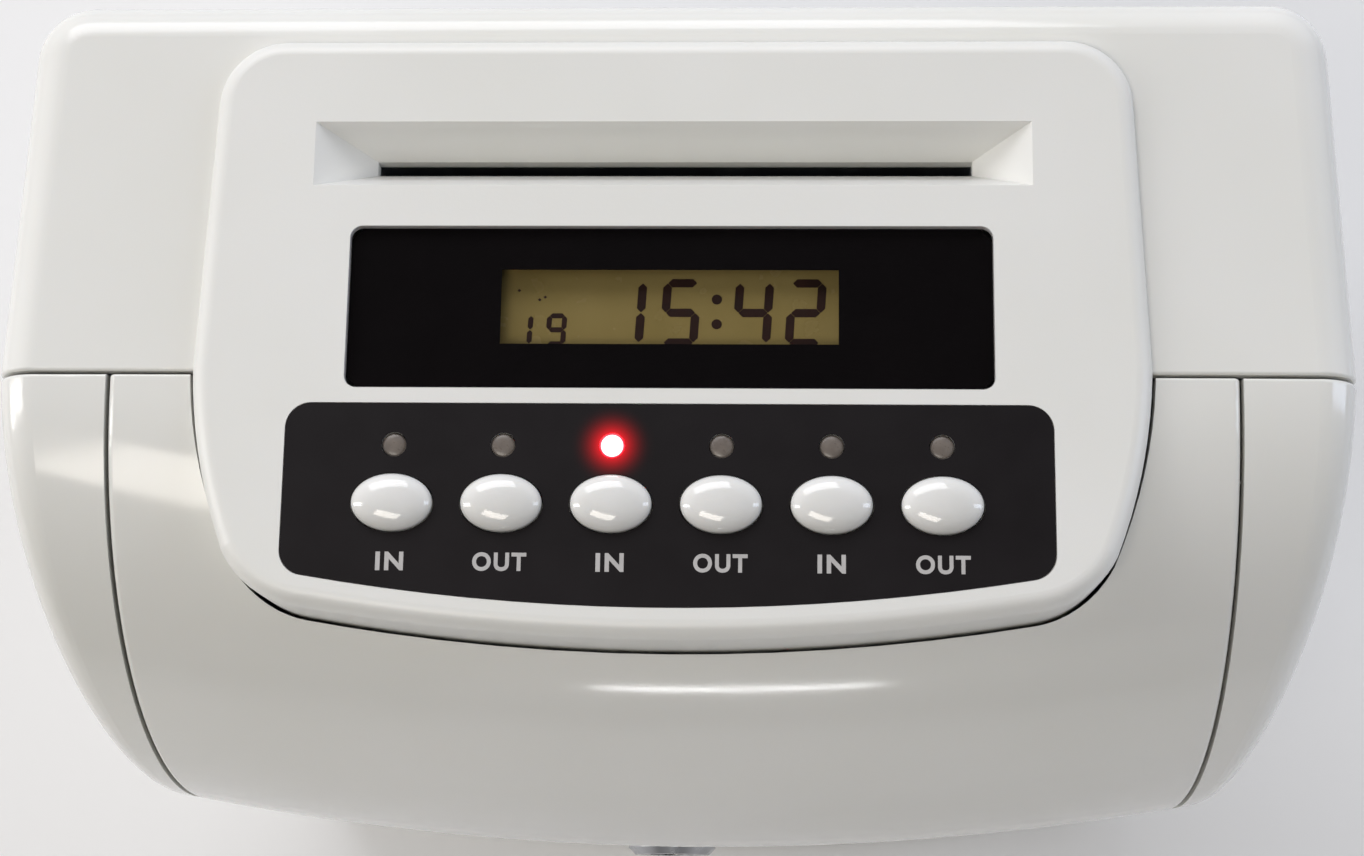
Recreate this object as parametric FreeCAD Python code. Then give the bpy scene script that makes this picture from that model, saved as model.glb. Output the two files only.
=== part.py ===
import FreeCAD, Part
import math
import os

from FreeCAD import Vector

# Punch time clock: a desk or wall clock that stamps time cards.
# X points right, Y to the back and Z up.  Everything is drawn with Y = 0 on the parting
# line between the rear cover and the front cover, and Z = 0 on the table.  The last step
# moves it so that the origin is under the middle of the whole clock.

# ---------------------------------------------------------------- driving sizes, in mm
# Body
BODY_TOP = 236.0            # flat rear top above the table
FOOT_HEIGHT = 3.0
FOOT_RADIUS = 8.0
BASE_HEIGHT = 12.0          # side height of the base tray
BASE_FLOOR = 3.0
LIP_HEIGHT = 4.0            # lip of the base tray inside the rear cover
LIP_THICK = 2.0
SILL_DEPTH = 14.0
FOOT_DRAFT = 0.8
FOOT_IN_X = 22.0
FOOT_IN_FRONT = 24.0
FOOT_IN_BACK = 16.0
JOIN = 1.0                  # bosses and webs run this far into what carries them
REAR_DEPTH = 58.0           # from the parting line to the back
FRONT_DEPTH = 64.5          # from the parting line to the front face
HALF_WIDTH = 99.0           # at the parting line
BACK_TAPER = 2.3            # each side comes in by this much at the back
SIDE_CURVE_MID = 3.9        # each side comes in by this much SIDE_MID_DEPTH forward
SIDE_MID_DEPTH = 30.0
SIDE_CURVE_FRONT = 14.8     # and by this much at the front face
BACK_CORNER_RADIUS = 9.0
RIM_RADIUS = 6.5            # rounding between the top and the sides
WALL = 2.5
TOP_FLAT = 7.5              # flat top in front of the parting line
ROUND_HEIGHT = 70.0         # height of the rounded shoulder of the front cover
FACE_TAPER = 0.045          # the front face falls back by this much for each mm downwards
BOW = 10.78                 # seen from above, the bowed front falls back by this much at the sides
SEAM = 0.5                  # gap between the outer covers
SEAM_ROUNDING = 0.9         # rounded long edge of the front cover
PART_ROUNDING = 0.45        # rounded edges on the parting line
SIDE_COVER_WIDTH = 17.5     # width of each side cover at the parting line
RUNNING = 0.05              # radial clearance of turning and sliding fits
SEAT = 0.1                  # clearance of loose seats

# Top panel
PANEL_RISE = 3.0            # above the rear top
PANEL_HALF_WIDTH = 68.8
PANEL_BACK_HALF_WIDTH = 67.2
PANEL_BACK = 50.0
PANEL_BACK_CORNER = 10.0
PANEL_SIDE_MID = (66.9, -14.5)      # a point on each side's long curve, forward of the line
PANEL_SIDE_END = (63.2, -26.5)      # where the side's curve meets the front corner's
PANEL_CORNER = (59.2, -31.4)        # a point on the front corner's curve
PANEL_FRONT_END = (52.6, -34.3)     # where the front corner meets the long front arc
PANEL_NOSE = -38.7          # middle of the front edge
PANEL_ROUNDING = 2.6
PANEL_SKIRT = 22.0          # depth of its walls below the rear top
PANEL_WALL = 2.2
PANEL_GAP = 0.6             # gap round it in the front cover
PANEL_ROOM = 6.0            # the rear cover is open this far round the card mouth

# Card slot and chute
CARD_Y = 32.3               # middle of the card's path
CARD_WIDTH = 88.4           # room for the card
CARD_GAP = 2.2
FUNNEL_HALF_WIDTH = 52.2
FUNNEL_FRONT = 27.15
FUNNEL_BACK = 36.9
FUNNEL_DEPTH = 8.0          # below the panel's top
FUNNEL_WALL = 2.3
CHUTE_BOTTOM = 57.0
GUIDE_SHEET = 1.5
GUIDE_HALF_WIDTH = 50.0
EAR_LOW = 70.0
EAR_DROP = 54.0             # top of the ears below the rear top

# Display
WINDOW_HALF_WIDTH = 46.3
WINDOW_FRONT = -3.0
WINDOW_BACK = 20.9
WINDOW_CORNER = 1.8
WINDOW_THICK = 1.1
MASK_THICK = 0.3
WINDOW_SINK = 0.1           # the window lies this far below the panel's top
VIEW_HALF_WIDTH = 24.3
VIEW_FRONT = 3.7
VIEW_BACK = 14.8
LCD_HALF_WIDTH = 30.0
LCD_HALF_HEIGHT = 10.5
LCD_THICK = 2.8
LCD_DROP = 1.0              # top of the glass below the panel's ceiling
LCD_FRAME = 2.2
VIEW_FLARE = 3.0            # the panel is open this far round the mask's view

# Keypad
BUTTON_COUNT = 6
BUTTON_PITCH = 15.5
BUTTON_Y = -19.8
BUTTON_WEB = 4.0            # of the panel, between neighbouring buttons
BUTTON_SHORT = 8.2
BUTTON_PROUD = 0.8          # straight side above the panel
BUTTON_DOME = 1.5
BUTTON_TRAVEL = 0.8
BUTTON_FLANGE = 1.0
BUTTON_CLEARANCE = 0.2
LED_Y = -11.4
LED_RADIUS = 1.7
LED_LIT = 2                 # counted from the left, from 0
LED_SINK = 0.5
LED_FLANGE = 0.4
BUTTON_STEM_RADIUS = 2.0
BUTTON_FLANGE_THICK = 1.6
OVERLAY_THICK = 0.35
OVERLAY_HALF_WIDTH = 54.4
OVERLAY_BACK = -5.4
OVERLAY_SIDE_FRONT = -29.6
OVERLAY_NOSE = -34.4
OVERLAY_CORNER = 3.6
BOARD_THICK = 1.6
BOARD_DROP = 10.0           # top of the keypad board below the panel's ceiling
KEYPAD_BOARD_HALF_WIDTH = 55.0
TACT_HEIGHT = 5.0
TACT_SIDE = 6.0
TACT_PLUNGER = 1.2
TACT_PLUNGER_RADIUS = 1.75
KEYPAD_BOARD_FRONT = -29.0
KEYPAD_SCREW_FRONT = (4.0, 4.2)     # in from the board's side, and in front of the buttons
KEYPAD_SCREW_BACK = (8.5, 3.0)      # in from the board's side, and in front of the window's back
KEYPAD_SCREW_RADIUS = 1.2
KEYPAD_SCREW_LENGTH = 6.0
KEYPAD_SCREW_HEAD = 1.4
KEYPAD_SCREW_HEAD_RADIUS = 2.6

# Hinge and lock of the front cover
HINGE_BEHIND = 7.3          # pins behind the front face
HINGE_Z = 19.0
HINGE_X = 24.0
HINGE_LUG = 10.0
HINGE_KNUCKLE = 5.0
HINGE_PIN_RADIUS = 1.25
HINGE_EYE_RADIUS = 2.8
HINGE_SIDE_GAP = 0.5
HINGE_POST = 4.0            # the knuckles' posts stand this far behind the pins
HINGE_POST_THICK = 3.0
COVER_BOTTOM = 15.5
SILL_TOP = 10.6             # the base tray is lower under the front cover
LOCK_DROP = 110.0           # lock axis below the rear top
LOCK_X = -3.5
LOCK_PROUD = 1.8
LOCK_FLANGE_RADIUS = 8.0
LOCK_BODY_RADIUS = 6.0
LOCK_PLUG_RADIUS = 4.0
LOCK_POCKET = 0.7           # flange pocket below the front face
LOCK_LENGTH = 21.0
LOCK_PAD = 1.5
CAM_REACH = 22.0
CAM_WIDTH = 10.0
CAM_THICK = 2.0
CAM_RIVET_RADIUS = 2.0
CAM_RIVET = 1.0
CAM_GAP = 0.8
LOCK_CHAMFER = 1.2
LOCK_PAD_RIM = 5.0
LOCK_NUT_WALL = 2.5
LOCK_NUT_THICK = 3.5
LOCK_PLUG_SINK = 0.3
KEYWAY_HALF_WIDTH = 0.7
KEYWAY_HALF_HEIGHT = 2.6
KEYWAY_DEPTH = 8.0

# Chassis
CHASSIS_MARGIN = 7.5        # from the side cover's seam to the chassis plates' inside
PLATE = 1.5
CHASSIS_SETBACK = 9.3       # front edges of its plates behind the front face beside them
CHASSIS_BACK = 50.0
CHASSIS_STAND = 10.5        # base plate above the tray's floor
CHASSIS_DROP = 36.0         # top of the side plates below the rear top
CHASSIS_SLOPE_HEIGHT = 50.0 # cut off the plates' upper front corners
CHASSIS_SLOPE_DEPTH = 18.0
TIE_HEIGHT = 12.0
BOSS_RADIUS = 4.0
SCREW_RADIUS = 1.5
SCREW_HEAD_RADIUS = 3.2
SCREW_HEAD = 1.8
CROSS_LONG = 1.8            # half length of the cross recess in a screw head
CROSS_WIDE = 0.4
FLANGE_WIDTH = 9.0          # rear flanges of the chassis plates
FLANGE_SCREW_IN = 4.5       # their screws, inwards from the plates
DECK_SCREW_IN = 9.0
DECK_SCREW_FRONT = 7.0
DECK_SCREW_BACK = 12.0
SIDE_SCREW_LOW = (-34.0, 52.0)      # Y, and height above the deck
SIDE_SCREW_HIGH = (-22.0, 15.0)     # Y, and depth below the top of the plates
SIDE_SCREW_LENGTH = 8.0
STUD_RADIUS = 2.8

# Card drive
SHAFT_RADIUS = 2.5
FEED_DROP = 46.0            # feed shaft below the rear top
FEED_ROLLER_RADIUS = 7.0
PINCH_ROLLER_RADIUS = 5.0
ROLLER_X = 25.0
ROLLER_WIDTH = 10.0
NIP = 0.3                   # gap between the two rollers
ROLLER_ROOM = 1.5
JOURNAL_IN = 2.0            # thick part of a shaft, in from the plates
SHAFT_END = 1.0
GEAR_GAP = 1.5              # from a plate to its gears
BUSH_WALL = 2.0
BUSH_FLANGE = 1.5
MODULE = 1.0
GEAR_WIDTH = 4.0
FEED_TEETH = 36
SCREW_TEETH = 36
PINION_TEETH = 12
MESH = 0.2                  # added to the gears' centre distance
MOTOR_SIDE = 35.0
MOTOR_LENGTH = 30.0
MOTOR_CHAMFER = 3.0
MOTOR_BORE = 20.0
PINION_SHAFT = 18.0

# Printer
PRINT_DROP = 86.0           # print line below the rear top
WINDOW_REACH = 44.0         # half width of the print window in the card guide
WINDOW_HEIGHT = 18.0
ROD_RADIUS = 3.0
LEAD_SCREW_RADIUS = 4.0
ROD_SPACING = 20.0
CARRIAGE_HALF_WIDTH = 14.0
CARRIAGE_DEPTH = 18.0
CARRIAGE_MARGIN = 8.0
CARRIAGE_Y = 0.0
HEAD_HALF_WIDTH = 8.0
HEAD_HEIGHT = 16.0
NOSE_HALF_WIDTH = 3.5
RIBBON_HEIGHT = 10.0
RIBBON_THICK = 0.3
RIBBON_GAP = 0.4
CASSETTE_HALF_WIDTH = 42.0
CASSETTE_FRONT = -34.0
CASSETTE_BACK = 4.0
CASSETTE_HEIGHT = 14.0
ARM_WIDTH = 5.0
KNOB_RADIUS = 7.0
PLATEN_DEPTH = 4.6
PLATEN_SHORT = 2.0          # the platen is this much narrower than the print window, each side
PLATEN_ARM = 10.0
PLATEN_ARM_IN = 6.0
CARD_STOP = 3.0
SCREW_DROP = 12.0           # lead screw below the print line
CARRIAGE_GAP = 0.8          # from the carriage to the shelf
NUT_WALL = 2.0
NOSE_LENGTH = 5.0
NOSE_HALF_HEIGHT = 5.0
FIN_START = 2.5
FIN_PITCH = 3.0
FIN_GAP = 1.2
FIN_DEPTH = 2.5
CASSETTE_CORNER = 4.0
ARM_DEPTH = 5.0
ARM_DROP = 4.0
SHELF_SHORT = 14.0          # the shelf ends this far in front of the cassette's back
KNOB_STEM_RADIUS = 2.0
KNOB_STEM = 7.0
KNOB_HEIGHT = 6.0
KNOB_LIFT = 0.2
KNOB_GROOVES = 12
KNOB_GROOVE_RADIUS = 0.9

# Electronics
BOARD_Y = 46.4              # front of the main board
BOARD_SHORT = 2.0           # its sides, inwards from the chassis plates
BOARD_LOW = 24.0
BOARD_HIGH = 150.0
JACK_X = -40.0
JACK_Z = 35.5
JACK_WIDTH = 9.0
JACK_HEIGHT = 11.0
JACK_BORE = 3.2
JACK_PIN = 1.0
JACK_DEPTH = 9.0
JACK_SINK = 0.2
JACK_PIN_SINK = 0.8
STANDOFF_LOW = 34.0         # the main board's screws, above its foot
STANDOFF_HIGH = 10.0        # and below its top
PROCESSOR_SIDE = 24.0
PROCESSOR_Z = 100.0
PROCESSOR_THICK = 2.0
CHIP_WIDTH = 8.0
CHIP_LENGTH = 22.0
CHIP_LOW = 60.0
CHIP_THICK = 2.4
CHIP_LEFTS = (-30.0, 4.0)
CAN_RADIUS = 5.0
CAN_HEIGHT = 9.0
CAN_Z = 48.0
CAN_PLACES = (-55.0, -42.0)
BUZZER_RADIUS = 6.0
BUZZER_HEIGHT = 6.0
BUZZER_X = 30.0
BUZZER_Z = 76.0
SOCKET_RIM = 1.5
SOCKET_DEPTH = 6.4
SOCKET_DROP = 14.0
SOCKET_HOLD = 6.0           # the cable goes this far into its socket
CELL_FRONT = -30.0          # middle of the first cell
CELL_GAP = 0.6
CELL_COUNT = 3
CELL_RADIUS = 7.2
CELL_LENGTH = 50.0
CABLE_WIDTH = 10.0
CABLE_THICK = 0.6
CABLE_BEND = 6.0
CABLE_START = 2.0
CABLE_SIDE = 1.5            # the cable passes this far beside the card guides
CABLE_AHEAD = 4.4           # and this far in front of the main board
KEYHOLE_SPACING = 110.0
KEYHOLE_DROP = 50.0         # narrow end below the rear top
KEYHOLE_HEAD = 4.5
KEYHOLE_NECK = 2.3
KEYHOLE_LENGTH = 9.0
VENT_LEFT = 18.0
VENT_RIGHT = 42.0
VENT_LOW = 64.0
VENT_PITCH = 6.0
VENT_HEIGHT = 2.0
VENT_COUNT = 5

# ---------------------------------------------------------------- worked out from them
SEAM_X = HALF_WIDTH - SIDE_COVER_WIDTH
BOW_RADIUS = (HALF_WIDTH ** 2 + BOW ** 2) / (2 * BOW)
BOW_AXIS_Y = BOW_RADIUS - FRONT_DEPTH
BUTTON_LONG = BUTTON_PITCH - BUTTON_WEB
SHOULDER_Z = BODY_TOP - ROUND_HEIGHT


def face_y(z):
    """Y of the middle of the front face at a height below the shoulder."""
    return -FRONT_DEPTH + FACE_TAPER * (SHOULDER_Z - z)


def chassis_front(z):
    """Y of the chassis plates' front edges at a height."""
    bow = BOW_RADIUS - math.sqrt(BOW_RADIUS ** 2 - PLATE_OUT ** 2)
    return face_y(z) + bow + CHASSIS_SETBACK


BASE_TOP = FOOT_HEIGHT + BASE_HEIGHT
FLOOR_TOP = FOOT_HEIGHT + BASE_FLOOR
PANEL_TOP = BODY_TOP + PANEL_RISE
PLATE_X = SEAM_X - CHASSIS_MARGIN
PLATE_OUT = PLATE_X + PLATE
CHASSIS_FLOOR = FLOOR_TOP + CHASSIS_STAND
CHASSIS_DECK = CHASSIS_FLOOR + PLATE
CHASSIS_TOP = BODY_TOP - CHASSIS_DROP
CHUTE_FRONT = CARD_Y - CARD_GAP / 2
CHUTE_BACK = CARD_Y + CARD_GAP / 2
FUNNEL_FLOOR = PANEL_TOP - FUNNEL_DEPTH - FUNNEL_WALL
GUIDE_TOP = FUNNEL_FLOOR - SEAT
FEED_Z = BODY_TOP - FEED_DROP
FEED_Y = CARD_Y - NIP / 2 - FEED_ROLLER_RADIUS
PINCH_Y = CARD_Y + NIP / 2 + PINCH_ROLLER_RADIUS
PRINT_Z = BODY_TOP - PRINT_DROP
SCREW_Z = PRINT_Z - SCREW_DROP
ROD_Z = SCREW_Z + ROD_SPACING
CARRIAGE_TOP = ROD_Z + CARRIAGE_MARGIN
CARRIAGE_LOW = SCREW_Z - CARRIAGE_MARGIN
SHELF_Z = CARRIAGE_TOP + CARRIAGE_GAP
CASSETTE_Z = SHELF_Z + PLATE
RIBBON_Y = CHUTE_FRONT - GUIDE_SHEET - RIBBON_GAP - RIBBON_THICK
FEED_CENTRES = (FEED_TEETH + PINION_TEETH) * MODULE / 2 + MESH
SCREW_CENTRES = (SCREW_TEETH + PINION_TEETH) * MODULE / 2 + MESH
GEAR_X = PLATE_OUT + GEAR_GAP
HINGE_Y = face_y(HINGE_Z) + HINGE_BEHIND
CHASSIS_FOOT = chassis_front(CHASSIS_DECK)
LOCK_Z = BODY_TOP - LOCK_DROP
LOCK_FACE = face_y(LOCK_Z)
LOCK_NOSE = LOCK_FACE - LOCK_PROUD
LOCK_SEAT = LOCK_FACE + LOCK_POCKET
LOCK_PAD_Y = LOCK_FACE + WALL + LOCK_PAD
LOCK_END = LOCK_NOSE + LOCK_LENGTH
CAM_Y = LOCK_END + CAM_GAP
BOARD_TOP = BODY_TOP - BOARD_DROP
BUTTON_STEM_END = BOARD_TOP + TACT_HEIGHT + BUTTON_TRAVEL + 0.05
LCD_Y = (VIEW_FRONT + VIEW_BACK) / 2
LCD_TOP = BODY_TOP - LCD_DROP
OVERALL_DEPTH = REAR_DEPTH + max(FRONT_DEPTH, -LOCK_NOSE)
PARTING_Y = OVERALL_DEPTH / 2 - REAR_DEPTH
FAR = 500.0                 # larger than the clock, for half spaces
SCREWS_Z = (CHASSIS_DECK + 22.0, CHASSIS_TOP - 15.0)
PARTS = {}


# ---------------------------------------------------------------- helpers
def box(x0, x1, y0, y1, z0, z1):
    """A block between two corners."""
    return Part.makeBox(x1 - x0, y1 - y0, z1 - z0, Vector(x0, y0, z0))


def rod(axis, start, end, a, b, radius):
    """A cylinder along X, Y or Z; a and b are its other two coordinates, in order."""
    places = {"x": Vector(start, a, b), "y": Vector(a, start, b), "z": Vector(a, b, start)}
    ways = {"x": Vector(1, 0, 0), "y": Vector(0, 1, 0), "z": Vector(0, 0, 1)}
    return Part.makeCylinder(radius, end - start, places[axis], ways[axis])


def cut(shape, *tools):
    """The shape without the tools."""
    for tool in tools:
        shape = shape.cut(tool)
    return shape


def fuse(first, *others):
    """All of the shapes as one, with the seams between coplanar faces removed."""
    return first.multiFuse(list(others)).removeSplitter()


def mirror(shape):
    """The shape on the other side of the middle plane."""
    return shape.mirror(Vector(0, 0, 0), Vector(1, 0, 0))


def both_sides(shape):
    """The shape and its mirror image."""
    return [shape, mirror(shape)]


def prism(points, z0, z1):
    """A polygon in plan, extruded upwards."""
    corners = [Vector(x, y, z0) for x, y in points]
    face = Part.Face(Part.makePolygon(corners + corners[:1]))
    return face.extrude(Vector(0, 0, z1 - z0))


def section_x(points, x0, x1):
    """A polygon in the YZ plane, extruded along X."""
    corners = [Vector(x0, y, z) for y, z in points]
    face = Part.Face(Part.makePolygon(corners + corners[:1]))
    return face.extrude(Vector(x1 - x0, 0, 0))


def upright(edge):
    """True for a straight vertical edge."""
    a, b = edge.Vertexes[0].Point, edge.Vertexes[-1].Point
    return abs(a.x - b.x) < 1e-6 and abs(a.y - b.y) < 1e-6 and abs(a.z - b.z) > 1e-6


def round_corners(shape, radius):
    """Rounds all of the vertical edges."""
    return shape.makeFillet(radius, [edge for edge in shape.Edges if upright(edge)])


def plate_z(x0, x1, y0, y1, z0, z1, radius):
    """A flat plate with rounded corners in plan."""
    return round_corners(box(x0, x1, y0, y1, z0, z1), radius)


def add(name, *solids):
    """Keeps the solids as one named piece or group."""
    PARTS[name] = solids[0] if len(solids) == 1 else Part.makeCompound(list(solids))


# ---------------------------------------------------------------- outer form
def plan_solid(inset):
    """The body's plan, from the back to past the front face, as a tall prism."""
    half = HALF_WIDTH - inset
    shoulder = Vector(half, 0, 0)
    middle = Vector(half - SIDE_CURVE_MID, -SIDE_MID_DEPTH, 0)
    corner = Vector(half - SIDE_CURVE_FRONT, -FRONT_DEPTH, 0)
    nose = Vector(corner.x, -FRONT_DEPTH - 5.0, 0)
    back = Vector(half - BACK_TAPER, REAR_DEPTH - inset, 0)
    right = [Part.LineSegment(back, shoulder).toShape(),
             Part.Arc(shoulder, middle, corner).toShape(),
             Part.LineSegment(corner, nose).toShape()]
    left = [mirror(edge) for edge in right]
    ends = [Part.LineSegment(nose, Vector(-nose.x, nose.y, 0)).toShape(),
            Part.LineSegment(back, Vector(-back.x, back.y, 0)).toShape()]
    wire = Part.Wire(Part.__sortEdges__(right + left + ends))
    solid = Part.Face(wire).extrude(Vector(0, 0, BODY_TOP - inset))
    corners = [edge for edge in solid.Edges
               if upright(edge) and edge.Vertexes[0].Point.y > REAR_DEPTH - inset - 1]
    return solid.makeFillet(BACK_CORNER_RADIUS - inset, corners)


def shoulder_curve(top, face):
    """The curve from the flat top down to the sloping face, tangent to both."""
    corner = Vector(0, face.y - FACE_TAPER * (top.z - face.z), top.z)
    curve = Part.BSplineCurve()
    curve.buildFromPolesMultsKnots([top, corner, face], [3, 3], [0, 1], False, 2,
                                   [1, math.sqrt(0.5), 1])
    return curve.toShape()


def bowed_solid(inset):
    """The side section of the front, turned about the far axis of the bow."""
    top = Vector(0, -TOP_FLAT, BODY_TOP - inset)
    face = Vector(0, -FRONT_DEPTH + inset, SHOULDER_Z)
    foot = Vector(0, face_y(0) + inset, 0)
    axis_foot = Vector(0, BOW_AXIS_Y, 0)
    axis_top = Vector(0, BOW_AXIS_Y, top.z)
    edges = [Part.LineSegment(axis_foot, axis_top).toShape(),
             Part.LineSegment(axis_top, top).toShape(),
             shoulder_curve(top, face),
             Part.LineSegment(face, foot).toShape(),
             Part.LineSegment(foot, axis_foot).toShape()]
    section = Part.Face(Part.Wire(Part.__sortEdges__(edges)))
    section.rotate(axis_foot, Vector(0, 0, 1), -30)
    return section.revolve(axis_foot, Vector(0, 0, 1), 60)


def is_side(face):
    """True for a face whose normal is level: one of the plan's own sides."""
    surface = face.Surface
    if isinstance(surface, Part.Plane):
        return abs(surface.Axis.z) < 1e-6
    return isinstance(surface, Part.Cylinder) and abs(abs(surface.Axis.z) - 1) < 1e-6


def body_form(inset):
    """The whole outer form, each wall moved in by the inset, with its rim rounded."""
    form = plan_solid(inset).common(bowed_solid(inset)).removeSplitter()
    rim = []
    for edge in form.Edges:
        faces = form.ancestorsOfType(edge, Part.Face)
        low = max(vertex.Point.z for vertex in edge.Vertexes) < 1e-6
        if len(faces) == 2 and is_side(faces[0]) != is_side(faces[1]) and not low:
            rim.append(edge)
    return form.makeFillet(RIM_RADIUS - inset, rim)


def rear_form(inset):
    """The outer form behind the parting line, flat on top right up to it."""
    lead = 5.0
    half = HALF_WIDTH - inset
    front = half + BACK_TAPER * lead / REAR_DEPTH
    back, top = REAR_DEPTH - inset, BODY_TOP - inset
    form = prism([(-front, -lead), (front, -lead), (half - BACK_TAPER, back),
                  (BACK_TAPER - half, back)], 0, top)
    corners = [edge for edge in form.Edges if upright(edge) and edge.Vertexes[0].Point.y > 0]
    form = form.makeFillet(BACK_CORNER_RADIUS - inset, corners)
    rim = []
    for edge in form.Edges:
        middle = edge.valueAt((edge.FirstParameter + edge.LastParameter) / 2)
        if abs(middle.z - top) < 1e-6 and middle.y > -lead + 1e-6:
            rim.append(edge)
    return form.makeFillet(RIM_RADIUS - inset, rim)


OUTER = body_form(0.0)
INNER = body_form(WALL)
SHELL = OUTER.cut(INNER)
REAR_SHELL = rear_form(0.0).cut(rear_form(WALL))


def outer_edges(shape, test):
    """The edges of a cover's outer skin that pass the test."""
    found = []
    for edge in shape.Edges:
        middle = edge.valueAt((edge.FirstParameter + edge.LastParameter) / 2)
        if not test(edge, middle):
            continue
        if INNER.distToShape(Part.Vertex(middle))[0] > WALL * 0.6:
            found.append(edge)
    return found


def on_plane(axis, value):
    """A test for edges that lie on one plane."""
    def test(edge, middle):
        points = [vertex.Point for vertex in edge.Vertexes] + [middle]
        return all(abs(getattr(point, axis) - value) < 1e-4 for point in points)
    return test


def panel_outline(grow, z0, z1):
    """The top panel's plan, moved out by grow, as a prism."""
    back_corner = PANEL_BACK_CORNER + grow
    back = PANEL_BACK + grow
    side = PANEL_HALF_WIDTH + grow
    back_side = PANEL_BACK_HALF_WIDTH + grow
    diagonal = grow * math.sqrt(0.5)
    turn = back_corner * (1 - math.sqrt(0.5))
    points = {"shoulder": Vector(side, 0, z0),
              "side_mid": Vector(PANEL_SIDE_MID[0] + grow * 0.98, PANEL_SIDE_MID[1] - grow * 0.2, z0),
              "side_end": Vector(PANEL_SIDE_END[0] + grow * 0.9, PANEL_SIDE_END[1] - grow * 0.43, z0),
              "corner": Vector(PANEL_CORNER[0] + diagonal, PANEL_CORNER[1] - diagonal, z0),
              "front_end": Vector(PANEL_FRONT_END[0] + grow * 0.25, PANEL_FRONT_END[1] - grow, z0),
              "nose": Vector(0, PANEL_NOSE - grow, z0),
              "back_side": Vector(back_side, back - back_corner, z0),
              "back_turn": Vector(back_side - turn, back - turn, z0),
              "back_end": Vector(back_side - back_corner, back, z0)}
    right = [Part.LineSegment(points["back_side"], points["shoulder"]).toShape(),
             Part.Arc(points["shoulder"], points["side_mid"], points["side_end"]).toShape(),
             Part.Arc(points["side_end"], points["corner"], points["front_end"]).toShape(),
             Part.Arc(points["back_side"], points["back_turn"], points["back_end"]).toShape()]
    left = [mirror(edge) for edge in right]
    front_end, back_end = points["front_end"], points["back_end"]
    across = [Part.Arc(front_end, points["nose"], Vector(-front_end.x, front_end.y, z0)).toShape(),
              Part.LineSegment(back_end, Vector(-back_end.x, back_end.y, z0)).toShape()]
    wire = Part.Wire(Part.__sortEdges__(right + left + across))
    return Part.Face(wire).extrude(Vector(0, 0, z1 - z0))


# ---------------------------------------------------------------- casing
def keyholes():
    """Cutters for the two wall-hanging keyholes in the back."""
    tools = []
    for x in (-KEYHOLE_SPACING / 2, KEYHOLE_SPACING / 2):
        neck = BODY_TOP - KEYHOLE_DROP
        head = neck - KEYHOLE_LENGTH
        y0, y1 = REAR_DEPTH - WALL - 1, REAR_DEPTH + 1
        tools += [rod("y", y0, y1, x, head, KEYHOLE_HEAD), rod("y", y0, y1, x, neck, KEYHOLE_NECK),
                  box(x - KEYHOLE_NECK, x + KEYHOLE_NECK, y0, y1, head, neck)]
    return tools


def rear_screw_places():
    """Where the rear cover is screwed to the chassis."""
    x = PLATE_X - FLANGE_SCREW_IN
    return [(side * x, z) for side in (-1, 1) for z in SCREWS_Z]


def rear_cover():
    """The full-height rear shell, with its screw bosses, jack hole, keyholes and vents."""
    shell = REAR_SHELL.common(box(-FAR, FAR, 0, FAR, BASE_TOP, FAR))
    shell = shell.makeFillet(PART_ROUNDING, outer_edges(shell, on_plane("y", 0)))
    opening = box(-FUNNEL_HALF_WIDTH - PANEL_ROOM, FUNNEL_HALF_WIDTH + PANEL_ROOM, -1,
                  FUNNEL_BACK + FUNNEL_WALL + 1, BODY_TOP - WALL - 1, BODY_TOP + 1)
    inner_back = REAR_DEPTH - WALL
    bosses = [rod("y", CHASSIS_BACK + PLATE, inner_back + JOIN / 2, x, z, BOSS_RADIUS)
              for x, z in rear_screw_places()]
    holes = []
    for x, z in rear_screw_places():
        holes += [rod("y", CHASSIS_BACK, FAR, x, z, SCREW_RADIUS + SEAT),
                  rod("y", REAR_DEPTH - SCREW_HEAD, FAR, x, z, SCREW_HEAD_RADIUS + SEAT)]
    jack = box(JACK_X - JACK_WIDTH / 2 - SEAT, JACK_X + JACK_WIDTH / 2 + SEAT, inner_back - 1,
               FAR, JACK_Z - JACK_HEIGHT / 2 - SEAT, JACK_Z + JACK_HEIGHT / 2 + SEAT)
    vents = [vent(row) for row in range(VENT_COUNT)]
    return cut(fuse(shell, *bosses), opening, jack, *holes, *vents, *keyholes())


def vent(row):
    """One of the sound slots in the back, counted upwards."""
    z = VENT_LOW + VENT_PITCH * row
    return box(VENT_LEFT, VENT_RIGHT, REAR_DEPTH - WALL - 1, REAR_DEPTH + 1,
               z - VENT_HEIGHT / 2, z + VENT_HEIGHT / 2)


def side_cover():
    """The right side cover: a thin shell with two bosses to the chassis plate."""
    shell = SHELL.common(box(SEAM_X + SEAM / 2, FAR, -FAR, -SEAM, BASE_TOP, FAR))
    rounded = outer_edges(shell, on_plane("y", -SEAM))
    shell = shell.makeFillet(PART_ROUNDING, rounded)
    solid = OUTER.cut(body_form(WALL / 2))
    bosses = [cut(rod("x", PLATE_OUT, FAR, y, z, BOSS_RADIUS).common(OUTER), solid)
              for y, z in side_boss_places()]
    holes = [rod("x", PLATE_X, PLATE_OUT + SIDE_SCREW_LENGTH + 1, y, z, SCREW_RADIUS + SEAT)
             for y, z in side_boss_places()]
    return cut(fuse(shell, *bosses), *holes)


def side_boss_places():
    """Where each side cover is screwed to its chassis plate, as Y and Z."""
    return [(SIDE_SCREW_LOW[0], CHASSIS_DECK + SIDE_SCREW_LOW[1]),
            (SIDE_SCREW_HIGH[0], CHASSIS_TOP - SIDE_SCREW_HIGH[1])]


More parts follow.
